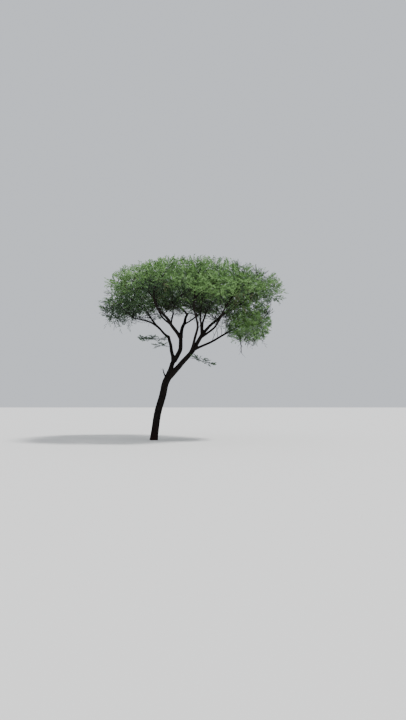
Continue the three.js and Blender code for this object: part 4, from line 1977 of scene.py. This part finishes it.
    def _along(self, shoots: Shoots, shares: Array) -> Array:
        """Places along shoots, which lift a little toward the light at their ends."""
        reach = (shoots.lengths * shares)[:, None]
        return shoots.roots + shoots.headings * reach + UP * (self.sizes.shoot_lift * reach * shares[:, None])

    def _add_leaves(self, mass: Mass, shoots: Shoots, random: np.random.Generator, leaves: MeshParts) -> None:
        """Adds the leaves of a mass's shoots, in the tone of their spray.

        Args:
            mass: The mass.
            shoots: Its leafy shoots.
            random: The source of random numbers.
            leaves: Gathers the faces.
        """
        sizes = self.sizes
        count = sizes.leaves_on_a_shoot
        rows = np.repeat(np.arange(len(shoots.roots)), count)
        order = np.tile(np.arange(count), len(shoots.roots))
        many = shoots.taken(rows)
        steps = (order + sizes.leaf_scatter * random.random(len(rows))) / (count - 1 + sizes.leaf_scatter)
        shares = sizes.first_leaf + (1 - sizes.first_leaf) * steps
        roots = self._along(many, np.minimum(shares, 1.0))
        level = unit(np.cross(many.headings, UP))
        upright = np.cross(level, many.headings)
        roll = np.where(order % 2 == 0, 0, math.pi) + random.normal(0, sizes.leaf_roll, len(rows))
        sideways = level * np.cos(roll)[:, None] + upright * np.sin(roll)[:, None]
        open_angle = np.radians(random.uniform(*sizes.leaf_angles, len(rows)))
        course = many.headings * np.cos(open_angle)[:, None] + sideways * np.sin(open_angle)[:, None]
        lean = UP + sizes.leaf_lean * random.standard_normal((len(rows), 3))
        across = unit(np.cross(course, lean))
        axes = np.stack([course, across, np.cross(across, course)], axis=1)
        length = sizes.leaf_length * many.scales * random.uniform(*sizes.leaf_variety, len(rows))
        template, one = self._leaf_template()
        vertices = roots[:, None] + (template @ axes) * length[:, None, None]
        faces = one[None] + len(template) * np.arange(len(rows))[:, None, None]
        tone = self._tones_of(mass, shoots, random)[rows]
        leaves.add(vertices.reshape(-1, 3), faces.reshape(-1, 3), np.repeat(tone, len(one)))

    def _leaf_template(self) -> tuple[Array, Array]:
        """Makes a feathery leaf one metre long: pairs of pointed side leaflets along a midrib.

        Returns:
            Its vertices and its faces.
        """
        sizes = self.sizes
        ribs = np.linspace(sizes.leaf_stalk, 1, len(sizes.pinna_shares) + 1)
        vertices = [(x, 0.0, -sizes.leaf_droop * x * x) for x in ribs]
        faces = []
        for index, width in enumerate(sizes.pinna_shares):
            x = (ribs[index] + ribs[index + 1]) / 2 + sizes.pinna_sweep
            for side in (1, -1):
                vertices.append((x, side * width, sizes.pinna_lift))
                tip = len(vertices) - 1
                faces.append((index, index + 1, tip) if side < 0 else (index + 1, index, tip))
        return np.array(vertices), np.array(faces)

    def _tones_of(self, mass: Mass, shoots: Shoots, random: np.random.Generator) -> Array:
        """The tone of each shoot: painted light on top and in the light patches, painted shade beneath.

        Args:
            mass: The mass.
            shoots: Its shoots.
            random: The source of random numbers.

        Returns:
            Each shoot's place in the list of tones.
        """
        rule = self.light
        places = shoots.tips
        count = len(places)
        # By height in the crown: painted light on the top and painted shade on the underside.
        light = rule.least + rule.height * np.clip(self.crown.SHAPE.crown.rise(places), rule.lowest_height, 1)
        for index, (strength, scale) in enumerate(rule.clouds):
            light += strength * lattice_noise(places * scale, CROWN_SEED + index)
        # Patches with light above 0 add painted light, those below 0 add painted shade.
        light += sum(patch.light * patch.at(places) for patch in PATCHES)
        light += random.normal(0, rule.spray_variety, int(shoots.sprays.max()) + 1)[shoots.sprays]
        light += random.normal(0, rule.shoot_variety, count)
        # The low sprays hang under the crown and get mostly painted shade.
        if not mass.on_tip:
            light = random.normal(*rule.low_sprays, count)
        order = np.array([self.tones.index(tone) for tone in self.TONES_BY_LIGHT])
        tone = order[np.searchsorted(np.array(rule.limits), light)]
        strength, scale = rule.dry_cloud
        dryness = strength * lattice_noise(places * scale, CROWN_SEED + len(rule.clouds))
        dryness += sum(patch.dry * patch.at(places) for patch in PATCHES)
        dryness += random.normal(0, rule.dry_variety, count)
        dry = (dryness > rule.dry_limit) & (light > rule.dry_least_light)
        return np.where(dry, self.tones.index(LeafTone.DRY), tone)


@dataclass
class Studio:
    """The plain pale floor, the soft light and the camera at the photograph's angle."""

    camera_place: Place = (2.08, -25.5, 1.6)
    camera_slope: float = 0.07
    lens: float = 30.0
    sensor: float = 36.0
    farthest: float = 1000.0
    floor_half: float = 150.0
    floor_gap: float = 0.002
    floor_colour: Colour = (0.72, 0.71, 0.69)
    sky_colour: Colour = (0.8, 0.84, 0.9)
    sky_strength: float = 0.9
    sun_strength: float = 4.2
    sun_tilt: float = 31.0
    sun_toward: float = -13.0
    sun_spread: float = 9.0

    def build(self) -> None:
        """Sets up the floor, the world, the sun and the camera."""
        self._floor()
        self._world()
        self._sun()
        self._camera()

    def _floor(self) -> None:
        """Lays the floor just under the trunk's flat cut."""
        half, height = self.floor_half, -self.floor_gap
        mesh = bpy.data.meshes.new("studio_floor")
        corners = [(-half, -half, height), (half, -half, height), (half, half, height), (-half, half, height)]
        mesh.from_pydata(corners, [], [(0, 1, 2, 3)])
        floor = bpy.data.objects.new("studio_floor", mesh)
        bpy.context.scene.collection.objects.link(floor)
        mesh.materials.append(PlainFinish("studio_floor", self.floor_colour).material())
        floor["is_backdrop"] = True

    def _world(self) -> None:
        """Fills the background with a pale even light."""
        world = bpy.data.worlds.new("studio")
        bpy.context.scene.world = world
        world.use_nodes = True
        background = world.node_tree.nodes["Background"]
        background.inputs["Color"].default_value = (*self.sky_colour, 1)
        background.inputs["Strength"].default_value = self.sky_strength

    def _sun(self) -> None:
        """Adds the main light, high on the right and soft."""
        light = bpy.data.lights.new("main_light", "SUN")
        light.energy = self.sun_strength
        light.angle = math.radians(self.sun_spread)
        lamp = bpy.data.objects.new("main_light", light)
        lamp.rotation_euler = (math.radians(self.sun_tilt), 0, math.radians(self.sun_toward + 90))
        bpy.context.scene.collection.objects.link(lamp)

    def _camera(self) -> None:
        """Places the camera at eye level, tipped up a little."""
        data = bpy.data.cameras.new("camera")
        data.lens = self.lens
        data.sensor_width = self.sensor
        data.clip_end = self.farthest
        camera = bpy.data.objects.new("camera", data)
        camera.location = self.camera_place
        camera.rotation_euler = (math.radians(90) + math.atan(self.camera_slope), 0, 0)
        bpy.context.scene.collection.objects.link(camera)
        bpy.context.scene.camera = camera


def settle(piece: bpy.types.Object, slot: str, *nodes: str) -> None:
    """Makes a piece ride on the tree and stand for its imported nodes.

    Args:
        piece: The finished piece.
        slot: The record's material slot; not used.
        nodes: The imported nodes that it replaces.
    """
    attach(piece, BODY)
    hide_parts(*nodes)
    log.info("%s: %d faces, %d vertices", piece.name, len(piece.data.polygons), len(piece.data.vertices))


def main() -> None:
    """Builds the wood, the foliage and the studio in order."""
    logging.basicConfig(level=logging.INFO, format="%(message)s", stream=sys.stdout)
    skeleton = Skeleton()
    bark = BarkedWood(skeleton)
    wood = bark.build()
    settle(wood, "bark", *(spec.name for spec in LIMBS if spec.name not in THIN_LIMBS))
    for piece, name in zip(ThinWood(skeleton).build(wood.data.materials[0]), THIN_LIMBS):
        settle(piece, "bark", name)
    crown = Crown()
    foliage = Foliage(skeleton, crown)
    seeds = itertools.chain(
        zip(crown.masses, itertools.count(CROWN_SEED)), zip(LOW_SPRAYS, itertools.count(LOW_SPRAY_SEED))
    )
    for mass, seed in seeds:
        twigs, leaves = foliage.grow(mass, seed)
        settle(twigs, "bark", mass.name)
        settle(leaves, "foliage", mass.name)
    total = sum(len(piece.data.polygons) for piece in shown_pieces())
    log.info("%d faces in all", total)
    Studio().build()


if __name__ == "__main__":
    main()
